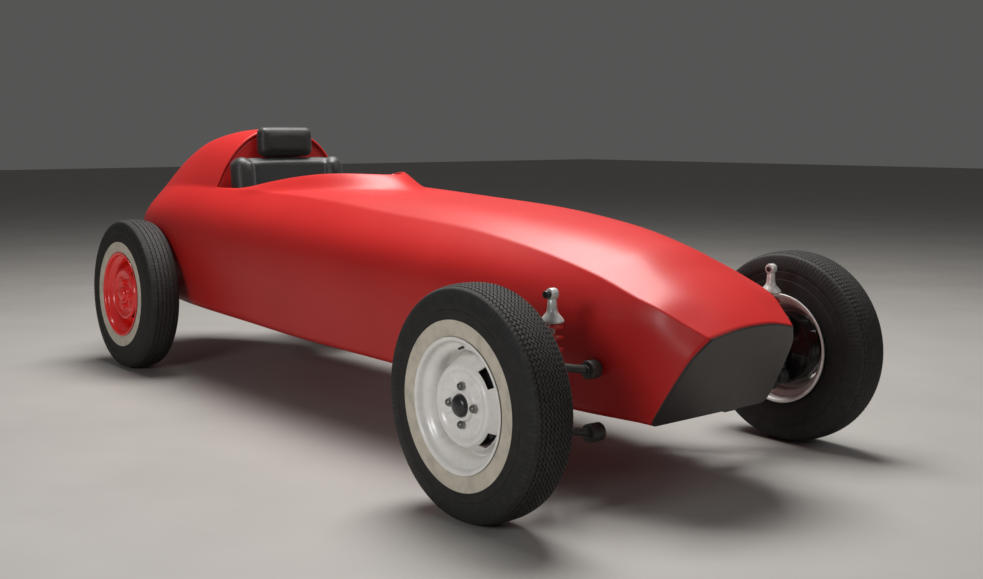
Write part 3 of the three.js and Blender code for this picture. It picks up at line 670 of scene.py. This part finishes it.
def make_tyre(tag, R, M, front):
    cols = tyre_columns(R, "front" if front else "rear")
    pitches = 134 if front else 122
    n = pitches * 4
    tri = [-1.0, 0.0, 1.0, 0.0]
    verts, faces, mats = [], [], []
    nc = len(cols)
    for i in range(n):
        a = 2 * math.pi * i / n
        ca, sa = math.cos(a), math.sin(a)
        for r, o, z, zone in cols:
            oo = o + z * tri[i % 4]
            rr = r
            if zone == 3 and i % 4 < 2:
                rr -= 1.0
                oo -= math.copysign(1.1, o)
            verts.append((rr * ca * S, oo * S, rr * sa * S))
    for i in range(n):
        k = (i + 1) % n
        for j in range(nc - 1):
            faces.append((i * nc + j, k * nc + j, k * nc + j + 1, i * nc + j + 1))
            za, zb = cols[j][3], cols[j + 1][3]
            mats.append(2 if za == 2 and zb == 2 else (1 if za == 4 and zb == 4 else 0))
        faces.append((i * nc + nc - 1, k * nc + nc - 1, k * nc, i * nc))
        mats.append(0)
    o = new_object("tyre_carcass_" + tag, verts, faces, [M_TYRE, M_TREAD, M_WHITEWALL], mats, 38)
    bm = bmesh.new(); bm.from_mesh(o.data)
    bmesh.ops.recalc_face_normals(bm, faces=bm.faces)
    bm.to_mesh(o.data); bm.free()
    o.data.transform(M)
    place(o, "wheel_" + tag, ["tyre_" + tag])


RIM = [(174.6, 65.4), (176.8, 66.0), (177.7, 67.6), (177.2, 69.2), (175.4, 70.0), (172.6, 69.7), (169.6, 68.0),
       (167.3, 65.6), (165.6, 61.0), (164.4, 56.0), (162.6, 52.0), (159.4, 48.8), (155.0, 46.0), (150.2, 42.6),
       (146.0, 38.6), (142.6, 33.6), (140.4, 27.5), (139.2, 20.0), (138.7, 10.0), (138.6, -6.0), (138.6, -22.0),
       (138.9, -33.0), (141.0, -38.0), (146.0, -42.6), (153.0, -46.6), (158.8, -50.4), (161.6, -55.6), (163.2, -63.0),
       (165.6, -70.5), (169.2, -76.2), (172.8, -78.6), (175.6, -78.9), (177.4, -77.2), (177.3, -75.2), (174.6, -74.4),
       (171.0, -71.0), (168.6, -64.0), (166.8, -53.0), (158.0, -45.6), (147.0, -38.6), (143.0, -33.0), (142.6, -10.0),
       (142.6, 12.0), (144.0, 27.0), (148.6, 35.0), (156.0, 41.0), (163.6, 45.6), (167.6, 51.0), (169.4, 59.0),
       (171.8, 64.6)]
DISC = [(29.0, 49.6), (30.4, 52.4), (32.6, 53.8), (36.6, 54.0), (39.2, 52.6), (40.8, 49.4), (42.2, 45.0), (44.0, 42.4),
        (46.5, 41.4), (50.0, 41.0), (53.5, 40.8), (57.0, 40.8), (60.5, 40.9), (64.0, 41.0), (67.5, 41.2), (71.0, 41.4),
        (74.5, 41.8), (78.0, 42.2), (81.5, 42.8), (84.6, 43.8), (87.4, 45.6), (90.0, 48.0), (93.0, 50.2), (96.4, 51.4),
        (100.0, 51.6), (103.4, 50.6), (106.0, 48.4), (108.0, 45.2), (110.2, 41.0), (112.6, 36.6), (115.2, 32.2),
        (118.0, 27.8), (120.8, 23.6), (123.4, 19.0), (125.4, 14.0), (126.8, 8.0), (128.0, 1.0), (131.0, -4.0),
        (134.6, -6.0), (139.0, -6.6)]
SEG = 192


def make_wheel(tag, M, front):
    mats = [M_SILVER if front else M_WHEELRED, M_NUT if front else M_WHEELRED, M_CAP if front else M_WHEELRED]
    slot = "wheel_silver" if front else "wheel_red"
    # pressed centre, with pads, slots and a ring round the cap
    verts, faces = [], []
    nc = len(DISC)
    for i in range(SEG):
        a = 2 * math.pi * i / SEG
        dd = abs(((math.degrees(a) - 45 + 45) % 90) - 45)      # degrees from the nearest diagonal
        for r, o in DISC:
            up = 0.0
            if 46 < r < 86:
                u = (r - 66) / 17.5
                w = dd / 19.0
                q = (abs(u) ** 3 + abs(w) ** 3) ** (1 / 3)
                up = 4.6 * smooth((1.12 - q) / 0.34)
            verts.append((r * math.cos(a), o + up, r * math.sin(a)))
    gone = set()
    for i in range(SEG):
        k = (i + 1) % SEG
        am = math.degrees(2 * math.pi * (i + 0.5) / SEG)
        dd = abs(((am - 45 + 45) % 90) - 45)
        for j in range(nc - 1):
            rm = (DISC[j][0] + DISC[j + 1][0]) / 2
            if dd < 14.5 and 110.5 < rm < 122.5:
                continue
            faces.append((i * nc + j, i * nc + j + 1, k * nc + j + 1, k * nc + j))
    disc = new_object("wheel_centre_" + tag, np.array(verts) * S, faces, [mats[0]], None, 40)
    so = disc.modifiers.new("Solidify", "SOLIDIFY")
    so.thickness = 0.0034
    so.offset = -1.0
    bm = bmesh.new(); bm.from_mesh(disc.data)
    # front faces look outboard, +Y
    if sum(f.normal.y for f in bm.faces) < 0:
        bmesh.ops.reverse_faces(bm, faces=bm.faces)
    bm.to_mesh(disc.data); bm.free()
    apply_modifiers(disc)
    disc.data.set_sharp_from_angle(angle=rad(40))
    disc.data.transform(M)
    place(disc, "wheel_" + tag, ())
    p = Part()
    p.lathe(RIM, 144, mi=0, closed=True)
    rim = p.make("wheel_rim_" + tag, mats, "wheel_" + tag, ["wheel_" + tag], slot, matrix=M, angle=45, design=False)
    # nuts with their seats, cap and valve
    p = Part()
    for q in range(4):
        a = math.pi / 2 * q
        T = Matrix.Translation(Vector((50 * math.cos(a), 0, 50 * math.sin(a)))) @ Matrix.Rotation(0.3 * q, 4, "Y")
        p.lathe([(0, 39), (14.2, 39), (14.2, 42.4), (12.8, 43.8), (0, 43.8)], 32, T, 0)
        p.lathe([(0, 43), (12.2, 43.4), (12.2, 50.0), (11.0, 52.2), (0, 52.4)], 6, T, 1)
        p.lathe([(0, 50), (10.6, 51.0), (10.2, 54.6), (8.2, 58.2), (4.6, 60.4), (0, 61.0)], 24, T, 1)
    p.lathe([(0, 40), (28.4, 40), (29.4, 51), (29.4, 55.4), (28.2, 59.4), (25.4, 62.8), (21.0, 65.4), (15.0, 67.4),
             (7.8, 68.6), (0, 69.0)], 64, mi=2)
    p.tube([(0, 40, -150), (0, 48, -149), (0, 58, -146.5)], [3.6, 3.4, 3.0], 14, mi=2)
    p.make("wheel_nuts_" + tag, mats, "wheel_" + tag, (), slot, matrix=M, angle=34, design=False)


def make_drum(tag, M, front):
    p = Part()
    prof = [(18, -55), (100, -55), (106, -54.2), (109, -52), (110, -48)]
    for k in range(6):
        o = -46 + k * 7.4
        prof += [(110, o), (112, o + 1.2), (112, o + 3.6), (110, o + 4.8)]
    prof += [(111, 1.0), (110, 4.4), (106, 8.2), (98, 12.6), (84, 17.4), (66, 22.6), (50, 26.4), (30, 27.2), (18, 27.4)]
    p.lathe(prof, 96, closed=True)
    p.make("drum_body_" + tag, [M_DRUM], "wheel_" + tag, ["brake_drum_" + tag], "drum", matrix=M, angle=40, design=False)


for tag, side, R, M, front in WHEELS:
    make_tyre(tag, R, M, front)
    make_wheel(tag, M, front)
    make_drum(tag, M, front)

# ------------------------------------------------------------------ front suspension
for side, tag in ((-1, "right"), (1, "left")):
    s = lambda p: (p[0], side * p[1], p[2])
    # upper wishbone
    p = Part()
    p.rod(s((2575, 526, 400)), s((2575, 566, 400)), 27, n=40, ch=3)
    p.rod(s((2575, 566, 400)), s((2575, 571, 400)), 17, n=32, ch=1.5, mi=1)
    p.rod(s((2575, 523, 400)), s((2575, 526, 400)), 20, n=32, ch=1, mi=1)
    p.tube([s(q) for q in ((2575, 530, 400), (2568, 500, 396), (2556, 470, 390), (2552, 456, 388), (2557, 441, 384.5),
                           (2570, 404, 376), (2586, 358, 368), (2600, 314, 362))], 11.5, 18)
    p.tube([s(q) for q in ((2570, 530, 399), (2500, 480, 386.5), (2420, 423, 374), (2340, 366, 362))], 11.5, 18)
    for x, a, b in ((2600, 291.5, 328), (2340, 345.5, 385)):
        p.rod(s((x, a, 362)), s((x, b, 362)), 26, n=40, ch=3)
        p.rod(s((x, b, 362)), s((x, b + 6, 362)), 15, n=6, ch=1.2, mi=1)
    p.make("upper_arm_" + tag, [M_DARK, M_BOLT], "root", ["upper_wishbone_" + tag], "chassis_dark")
    # lower wishbone
    p = Part()
    p.rod(s((2575, 526, 230)), s((2575, 566, 230)), 27, n=40, ch=3)
    p.rod(s((2575, 566, 230)), s((2575, 571, 230)), 17, n=32, ch=1.5, mi=1)
    p.tube([s(q) for q in ((2575, 532, 230), (2579, 455, 214.5), (2583, 372, 197.5), (2587, 290, 181))], 11.5, 18)
    p.tube([s(q) for q in ((2570, 532, 229), (2480, 455, 213), (2390, 378, 197), (2300, 300, 181))], 11.5, 18)
    for x, a, b in ((2587, 262, 310), (2300, 272, 320)):
        p.rod(s((x, a, 181)), s((x, b, 181)), 26, n=40, ch=3)
        p.rod(s((x, b, 181)), s((x, b + 6, 181)), 15, n=6, ch=1.2, mi=1)
    y0, y1 = sorted((side * 440, side * 474))
    p.rbox((2577, y0, 206), (2627, y1, 236), bevel=5)
    p.make("lower_arm_" + tag, [M_DARK, M_BOLT], "root", ["lower_wishbone_" + tag], "chassis_dark")
    # strut: damper, spring seat, neck and eye
    X, Y = 2602, side * 457
    up = Matrix.Translation(Vector((X, Y, 0))) @ Matrix.Rotation(math.pi / 2, 4, "X")
    p = Part()
    p.lathe([(0, 237), (19, 237), (21, 239), (21, 260), (23, 262), (33, 263), (34, 265), (34, 268), (32, 270), (18, 271),
             (16.5, 273), (16.5, 380), (15.5, 384), (10, 386), (9, 388), (9, 502), (12, 504), (28.5, 505.5), (31.6, 507.5),
             (32.2, 510.5), (31.0, 513.5), (24.5, 522), (18.2, 529.5), (15.4, 533.5), (13.6, 541), (12.4, 552), (12.2, 564),
             (9, 570), (0, 572)], 48, up)
    eye = [(0, -11), (13.2, -11), (15.2, -9.8), (16.0, -7.4), (16.0, 7.4), (15.2, 9.8), (13.2, 11), (0, 11)]
    p.lathe(eye, 48, Matrix.Translation(Vector((X, Y, 581))))
    bolt_dir = side
    p.rod((X, Y + 10.5 * bolt_dir, 581), (X, Y + 26.5 * bolt_dir, 581), 10.4, n=32, ch=2.0, mi=1)
    p.rod((X, Y - 10.5 * bolt_dir, 581), (X, Y - 15.0 * bolt_dir, 581), 9.0, n=6, ch=1.2, mi=1)
    p.make("strut_body_" + tag, [M_STRUT, M_BOLT], "root", ["strut_" + tag], "strut")
    # helical spring
    turns, z0, z1, rc, wr = 7.0, 278.0, 500.5, 24.6, 5.9
    pts = []
    steps = 240
    for k in range(steps + 1):
        u = k / steps
        # closer together at both ends
        w = u + 0.030 * math.sin(2 * math.pi * u) * -1
        a = 2 * math.pi * turns * (u - 1) * side - 0.9
        pts.append((X + rc * math.cos(a), Y + rc * math.sin(a), z0 + (z1 - z0) * w))
    p = Part()
    p.tube(pts, wr, 12)
    p.make("spring_wire_" + tag, [M_SPRING], "root", ["coil_spring_" + tag], "spring_paint", angle=60)
    # knuckle
    p = Part()
    p.rod(s((2575, 546, 257)), s((2575, 546, 373)), 18, n=36, ch=2)
    p.rod(s((2575, 546, 258)), s((2575, 546, 268)), 22, n=36, ch=2)
    p.rod(s((2575, 546, 362)), s((2575, 546, 372)), 22, n=36, ch=2)
    p.rod(s((2539, 540, 310)), s((2539, 592, 310)), 26, n=40, ch=3)
    y0, y1 = sorted((side * 532, side * 560))
    p.rbox((2531, y0, 286), (2572, y1, 334), bevel=5)
    p.rod(s((2539, 590, 310)), s((2539, 651, 310)), 14, n=36, ch=1.5)
    arm = [(2569, 558), (2569, 532), (2500, 518), (2428, 506), (2428, 532), (2500, 541)]
    v = [(a, side * b, z) for z in (292.5, 305.5) for a, b in arm]
    n = len(arm)
    f = [list(range(n)), list(range(n, 2 * n))] + [[i, (i + 1) % n, (i + 1) % n + n, i + n] for i in range(n)]
    p.add(v, f)
    p.rod(s((2440, 519, 290)), s((2440, 519, 308)), 13, n=28, ch=1.5, mi=1)
    # domed backing plate
    Mb = Matrix.Translation(Vector((2539, 0, 310)))
    q = 1 if side > 0 else -1
    dome = [(0, 578), (40, 578), (58, 579.5), (72, 583), (84, 587.6), (100, 589.8), (112, 590.2), (116.6, 591.6),
            (118, 594), (118, 596), (116.6, 597), (0, 597)]
    p.lathe([(r, q * o) for r, o in dome], 96, Mb, mi=2)
    for k in range(4):
        a = math.pi / 4 + math.pi / 2 * k
        c = (2539 + 50 * math.cos(a), 0, 310 + 50 * math.sin(a))
        p.rod((c[0], side * 573, c[2]), (c[0], side * 579, c[2]), 8, n=6, ch=1.2, mi=1)
    p.make("upright_" + tag, [M_DARK, M_BOLT, M_DRUM], "knuckle_" + tag, ["knuckle_" + tag], "chassis_dark")
    # boot where the track rod goes through the panel
    p = Part()
    yb = 322
    prof = [(10.2, 0), (17, 0), (20, 2), (20, 5), (16, 7), (19, 9), (16, 11), (18, 13), (14, 15), (11.5, 17), (10.2, 18)]
    p.lathe([(r, side * (yb - 8 + o)) for r, o in prof], 32, Matrix.Translation(Vector((2440, 0, 276))), closed=True)
    p.make("rod_boot_" + tag, [M_BOOT], "root", (), "chassis_dark")

# track rod with its ends
p = Part()
p.rod((2440, -516, 276), (2440, 516, 276), 9, n=28, ch=1)
for side in (-1, 1):
    p.rod((2440, side * 500, 276), (2440, side * 534, 276), 12.6, n=6, ch=1.5, mi=1)
    p.rod((2440, side * 519, 265), (2440, side * 519, 289), 11.5, n=28, ch=2)
    p.rod((2440, side * 486, 276), (2440, side * 494, 276), 12, n=6, ch=1, mi=1)
p.make("tie_bar", [M_DARK, M_BOLT], "track_rod", ["track_rod"], "chassis_dark")

# ------------------------------------------------------------------ rear axle
RZ = 316.986
p = Part()
p.rod((0, -424, RZ), (0, 424, RZ), 17, n=36, ch=1.5)
Mh = Matrix.Translation(Vector((0, 0, RZ + 78)))
p.lathe([(0, -80), (60, -80), (76, -78), (86, -70), (91, -56), (92, -40), (92, 40), (91, 56), (86, 70), (76, 78), (60, 80),
         (0, 80)], 56, Mh)
for k in range(10):
    a = 2 * math.pi * k / 10
    for sy in (-1, 1):
        p.rod((72 * math.cos(a), sy * 76, RZ + 78 + 72 * math.sin(a)), (72 * math.cos(a), sy * 82, RZ + 78 + 72 * math.sin(a)),
              5, n=6, ch=0.8, mi=1)
for sy in (-1, 1):
    p.rod((0, sy * 60, RZ + 24), (0, sy * 330, RZ), 34, 19, n=36, ch=2)
    p.rod((0, sy * 330, RZ), (0, sy * 342, RZ), 24, n=36, ch=2)
    # round boot in the panel's side
    prof = [(18.5, 0), (48, 0), (55, 2), (56, 6), (50, 9), (42, 11), (44, 15), (34, 17), (36, 21), (27, 24), (20, 26), (18.5, 26)]
    yb = 352
    p.lathe([(r, sy * (yb + o)) for r, o in prof], 48, Matrix.Translation(Vector((0, 0, RZ))), mi=2, closed=True)
p.make("rear_axle_beam", [M_DARK, M_BOLT, M_BOOT], "root", ["rear_axle"], "chassis_dark")
for side, tag in ((-1, "right"), (1, "left")):
    th = rad(1.8)
    MR = [w for w in WHEELS if w[0] == "rear_" + tag][0][3]
    p = Part()
    p.lathe([(0, -73), (36, -73), (54, -71.6), (70, -69.6), (104, -69.2), (114, -68.6), (117.4, -67), (118, -65), (117, -62.4),
             (0, -62)], 96)
    p.lathe([(0, -62), (13.6, -62), (14, -60), (14, -10), (12, -9), (0, -9)], 32, mi=1)
    for k in range(6):
        a = 2 * math.pi * k / 6
        p.rod((44 * math.cos(a), -76, 44 * math.sin(a)), (44 * math.cos(a), -71, 44 * math.sin(a)), 6, n=6, ch=1, mi=1)
    p.make("rear_backing_" + tag, [M_DRUM, M_BOLT], "root", ["rear_backing_plate_" + tag], "chassis_dark", matrix=MR,
           design=False)
    p = Part()
    p.tube([(36, side * 270, RZ), (140, side * 270, RZ), (244, side * 270, RZ), (348, side * 270, RZ)], 10, 20)
    p.rod((350, side * 258, RZ), (350, side * 282, RZ), 19, n=36, ch=3)
    p.rod((350, side * 281, RZ), (350, side * 287, RZ), 11, n=6, ch=1.2, mi=1)
    p.rod((36, side * 258, RZ), (36, side * 282, RZ), 16, n=36, ch=2)
    p.rod((36, side * 281, RZ), (36, side * 286, RZ), 9, n=6, ch=1, mi=1)
    p.make("radius_arm_" + tag, [M_DARK, M_BOLT], "root", ["radius_rod_" + tag], "chassis_dark")

# ------------------------------------------------------------------ steering wheel, column, dials
tilt = rad(20)
hub_p = Vector((985, 0, 655))
col_dir = Vector((math.cos(tilt), 0, -math.sin(tilt)))
Ms = Matrix.Translation(Vector((985 * S + X0, 0, 655 * S))) @ Matrix.Rotation(rad(110), 4, "Y")
p = Part()
ring = [(163 * math.cos(2 * math.pi * k / 96), 163 * math.sin(2 * math.pi * k / 96), 0) for k in range(96)]
p.tube(ring, 11, 20, mi=0, closed=True)
for k in range(3):
    a = rad(120 * k + 90)
    R3 = Matrix.Rotation(a, 4, "Z")
    p.rbox((24, -13, -2.4), (156, -3.6, 2.4), bevel=1.4, seg=2, mi=1, M=R3)
    p.rbox((24, 3.6, -2.4), (156, 13, 2.4), bevel=1.4, seg=2, mi=1, M=R3)
    for xx in (52, 84, 116):
        p.rbox((xx - 6, -5.5, -2.2), (xx + 6, 5.5, 2.2), bevel=1.4, seg=2, mi=1, M=R3)
Mz = Matrix.Rotation(math.pi / 2, 4, "X")
p.lathe([(0, -13), (28, -13), (34, -9), (34, 4), (31, 8), (24, 11), (12, 12.6), (0, 13)], 48, Mz, mi=1)
p.lathe([(0, -16), (17, -16), (19, -13.4), (0, -13)], 32, Mz, mi=2)
p.make("steering_rim", [M_LEATHER, M_CHROME, M_CAP], "steering_wheel", ["steering_wheel"], "steering_wheel", matrix=Ms,
       design=False)
p = Part()
at = lambda d: hub_p + col_dir * d
p.rod(at(34), at(330), 17, n=36, ch=2)
p.rod(at(34), at(60), 21, n=36, ch=3)
p.rod(at(240), at(252), 40, n=48, ch=2)
for k in range(4):
    a = math.pi / 4 + math.pi / 2 * k
    side_v = Vector((0, 1, 0))
    up_v = col_dir.cross(side_v)
    c = side_v * 31 * math.cos(a) + up_v * 31 * math.sin(a)
    p.rod(at(236) + c, at(241) + c, 5, n=6, ch=0.8, mi=1)
p.make("column_tube", [M_DARK, M_BOLT], "root", ["steering_column"], "chassis_dark")

for name, y, z, r in (("dial_centre", 0.0, 742.0, 42.0), ("dial_right", -112.0, 712.0, 30.0), ("dial_left", 112.0, 712.0, 30.0)):
    p = Part()
    Mx = Matrix.Translation(Vector((1236, y, z))) @ Matrix.Rotation(math.pi / 2, 4, "Z")
    p.lathe([(r * 0.86, 0), (r, 0), (r * 1.02, 4), (r * 0.98, 8), (r * 0.9, 9), (r * 0.86, 6)], 56, Mx, mi=0, closed=True)
    p.lathe([(0, 1), (r * 0.88, 1), (r * 0.88, 4), (0, 4.6)], 56, Mx, mi=1)
    for k in range(11):
        a = rad(-135 + 27 * k)
        Rk = Mx @ Matrix.Rotation(a, 4, "Y")
        p.rbox((-0.8, 4.0, r * 0.62), (0.8, 5.4, r * 0.8), bevel=0.3, seg=1, mi=2, M=Rk)
    Rk = Mx @ Matrix.Rotation(rad(-90), 4, "Y")
    p.rbox((-0.9, 4.4, -r * 0.12), (0.9, 6.4, r * 0.66), bevel=0.4, seg=1, mi=3, M=Rk)
    p.make(name, [M_CHROME, M_DIAL, M_WHITEWALL, M_SPRING], "root", (), "panel")


# ------------------------------------------------------------------ soft pieces
def puff(o, voxel, cap, pressure=4.0, subdivide=True, frames=20):
    """Voxel remesh, swell under cloth pressure, keep within cap."""
    m = o.modifiers.new("Remesh", "REMESH")
    m.mode = "VOXEL"
    m.voxel_size = voxel
    m.use_smooth_shade = True
    apply_modifiers(o)
    me = o.data
    n = len(me.vertices)
    rest = np.zeros(n * 3)
    me.vertices.foreach_get("co", rest)
    rest = rest.reshape(-1, 3)
    co = rest.copy()
    c = o.modifiers.new("Cloth", "CLOTH")
    st = c.settings
    st.quality = 5
    st.mass = 0.3
    st.tension_stiffness = 15
    st.compression_stiffness = 15
    st.shear_stiffness = 5
    st.bending_stiffness = 0.5
    st.use_pressure = True
    st.uniform_pressure_force = pressure
    st.effector_weights.gravity = 0.0
    c.point_cache.frame_start = 1
    c.point_cache.frame_end = frames
    for f in range(1, frames + 1):
        scene.frame_set(f)
    dg = bpy.context.evaluated_depsgraph_get()
    ev = o.evaluated_get(dg)
    got = ev.to_mesh()
    co = np.zeros(n * 3)
    got.vertices.foreach_get("co", co)
    co = co.reshape(-1, 3)
    ev.to_mesh_clear()
    o.modifiers.remove(c)
    scene.frame_set(1)
    # the stuffing only pushes out: keep the outward part of the cloth's movement
    nrm = np.zeros(n * 3)
    me.vertices.foreach_get("normal", nrm)
    nrm = nrm.reshape(-1, 3)
    d = nrm * np.maximum(((co - rest) * nrm).sum(axis=1), 0.0)[:, None]
    L = np.linalg.norm(d, axis=1)
    k = np.where(L > cap, cap / np.maximum(L, 1e-9), 1.0)
    co = rest + d * k[:, None]
    return rest, co


def settle(o, co, subdivide):
    o.data.vertices.foreach_set("co", co.astype(np.float32).ravel())
    o.data.update()
    sm = o.modifiers.new("Smooth", "SMOOTH")
    sm.factor = 0.5
    sm.iterations = 3
    if subdivide:
        sd = o.modifiers.new("Subdivision", "SUBSURF")
        sd.levels = 1
        sd.render_levels = 1
    apply_modifiers(o)
    o.data.shade_smooth()


def frame_matrix(origin, tilt_deg):
    return Matrix.Translation(Vector(origin)) @ Matrix.Rotation(rad(tilt_deg), 4, "Y")


def soft_piece(name, build, voxel, cap, node, limits, subdivide=True, pressure=4.0):
    p = Part()
    build(p)
    W = np.array([tuple(q) for q in p.v], float) * S
    W[:, 0] += X0
    o = new_object(name, W, p.f, [M_VINYL], None, None)
    bm = bmesh.new(); bm.from_mesh(o.data)
    bmesh.ops.recalc_face_normals(bm, faces=bm.faces)
    bm.to_mesh(o.data); bm.free()
    rest, co = puff(o, voxel, cap, pressure)
    co = limits(co)
    settle(o, co, subdivide)
    place(o, "root", [node])
    return o


def capsule(p, a, b, r, n=28, M=None):
    a, b = Vector(a), Vector(b)
    if M is not None:
        a, b = M @ a, M @ b
    L = (b - a).length
    q = Vector((0, 1, 0)).rotation_difference((b - a).normalized())
    T = Matrix.Translation(a) @ q.to_matrix().to_4x4()
    prof = [(0, -r)]
    for k in range(1, 7):
        t = math.pi / 2 * (1 - k / 6)
        prof.append((r * math.cos(t), -r * math.sin(t)))
    for k in range(0, 7):
        t = math.pi / 2 * k / 6
        prof.append((r * math.cos(t) if k < 6 else 0, L + r * math.sin(t)))
    p.lathe(prof, n, T)


# backrest: leans back 6 degrees; local z runs up it, local x out of it
B = frame_matrix((463, 0, 382), -6)


def build_back(p):
    p.rbox((9, -176, 8), (54, 176, 505), bevel=18, seg=4, M=B)
    capsule(p, (28, -176, 487), (28, 176, 487), 27, M=B)
    for sy in (-1, 1):
        capsule(p, (46, sy * 215, 46), (46, sy * 215, 474), 43, M=B)
        p.rbox((6, sy * 215 - 40, 16), (44, sy * 215 + 40, 504), bevel=18, seg=5, M=B)


def keep_back(co):
    lo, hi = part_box("seat_back")
    # flat against the seat's base at the back
    Bi = (Matrix.Translation(Vector((X0, 0, 0))) @ Matrix.Translation(Vector((463 * S, 0, 382 * S)))
          @ Matrix.Rotation(rad(-6), 4, "Y")).inverted()
    A = np.array(Bi)
    loc = co @ A[:3, :3].T + A[:3, 3]
    loc[:, 0] = np.maximum(loc[:, 0], 0.0005)
    loc[:, 1] = np.clip(loc[:, 1], -0.262, 0.262)
    loc[:, 2] = np.clip(loc[:, 2], 0.0, 0.520)
    A2 = np.array(Bi.inverted())
    return loc @ A2[:3, :3].T + A2[:3, 3]


soft_piece("seat_back_pad", build_back, 0.0082, 0.009, "seat_back", keep_back)

C = frame_matrix((564, 0, 290), -6)


def build_cushion(p):
    p.rbox((12, -168, 8), (388, 168, 50), bevel=18, seg=4, M=C)
    capsule(p, (376, -164, 32), (376, 164, 32), 20, M=C)
    for sy in (-1, 1):
        capsule(p, (38, sy * 212, 50), (362, sy * 212, 50), 30, M=C)
        p.rbox((16, sy * 212 - 29, 8), (384, sy * 212 + 29, 46), bevel=13, seg=4, M=C)


def keep_cushion(co):
    Bi = (Matrix.Translation(Vector((X0 + 564 * S, 0, 290 * S))) @ Matrix.Rotation(rad(-6), 4, "Y")).inverted()
    A = np.array(Bi)
    loc = co @ A[:3, :3].T + A[:3, 3]
    loc[:, 2] = np.maximum(loc[:, 2], 0.0005)
    loc[:, 0] = np.clip(loc[:, 0], 0.003, 0.405)
    loc[:, 1] = np.clip(loc[:, 1], -0.262, 0.262)
    A2 = np.array(Bi.inverted())
    return loc @ A2[:3, :3].T + A2[:3, 3]


soft_piece("seat_cushion_pad", build_cushion, 0.009, 0.012, "seat_cushion", keep_cushion)


def build_head(p):
    p.rbox((403, -123, 900), (466, 123, 1021), bevel=26, seg=7)
    p.rbox((396, -58, 928), (412, 58, 982), bevel=3, seg=2)


def keep_head(co):
    co = co.copy()
    co[:, 0] = np.clip(co[:, 0], X0 + 0.3946, X0 + 0.4695)
    co[:, 1] = np.clip(co[:, 1], -0.126, 0.126)
    co[:, 2] = np.clip(co[:, 2], 0.899, 1.0235)
    return co


soft_piece("headrest_pad", build_head, 0.0055, 0.004, "headrest", keep_head)

# ------------------------------------------------------------------ carried-over CAD nodes
for node, mat in (("undertray", M_TRAY), ("seat_bulkhead", M_BULKHEAD_RED_WITH_PAINTED_LIGHT), ("dashboard", M_LINING), ("engine_block", M_ENGINE)):
    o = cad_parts[node]
    o.data.materials.clear()
    o.data.materials.append(mat)

# ------------------------------------------------------------------ stage
me = bpy.data.meshes.new("floor")
me.from_pydata([(-30, -30, 0), (30, -30, 0), (30, 30, 0), (-30, 30, 0)], [], [(0, 1, 2, 3)])
floor = bpy.data.objects.new("floor", me)
scene.collection.objects.link(floor)
M_FLOOR = finish_material("floor_pale", (0.325, 0.311, 0.294), (0.295, 0.282, 0.267), rough=0.55, rough_var=0.06, scale=1.6,
                          bump=0.03, bump_scale=120, fine=((0.31, 0.297, 0.28), 9, 0.25))
me.materials.append(M_FLOOR)

world = bpy.data.worlds.new("studio")
scene.world = world
world.use_nodes = True
bg = world.node_tree.nodes["Background"]
bg.inputs["Color"].default_value = (0.80, 0.79, 0.78, 1)
bg.inputs["Strength"].default_value = 0.115


def area(name, loc, target, size, size_y, power, color=(1, 1, 1)):
    d = bpy.data.lights.new(name, "AREA")
    d.shape = "RECTANGLE"
    d.size = size
    d.size_y = size_y
    d.energy = power
    d.color = color
    o = bpy.data.objects.new(name, d)
    scene.collection.objects.link(o)
    o.location = loc
    o.rotation_mode = "QUATERNION"
    o.rotation_quaternion = (Vector(target) - Vector(loc)).to_track_quat("-Z", "Y")
    return o


area("overhead", (-0.7, 0.9, 5.4), (0.0, 0.1, 0.4), 3.6, 2.8, 560, (1.0, 0.985, 0.965))
area("front_fill", (5.0, 1.6, 3.2), (1.2, 0, 0.4), 2.6, 1.8, 22)
area("side_fill", (2.5, -5.0, 2.2), (0.8, -0.6, 0.3), 1.6, 1.2, 78)
scene.view_settings.view_transform = "Standard"
scene.view_settings.look = "None"
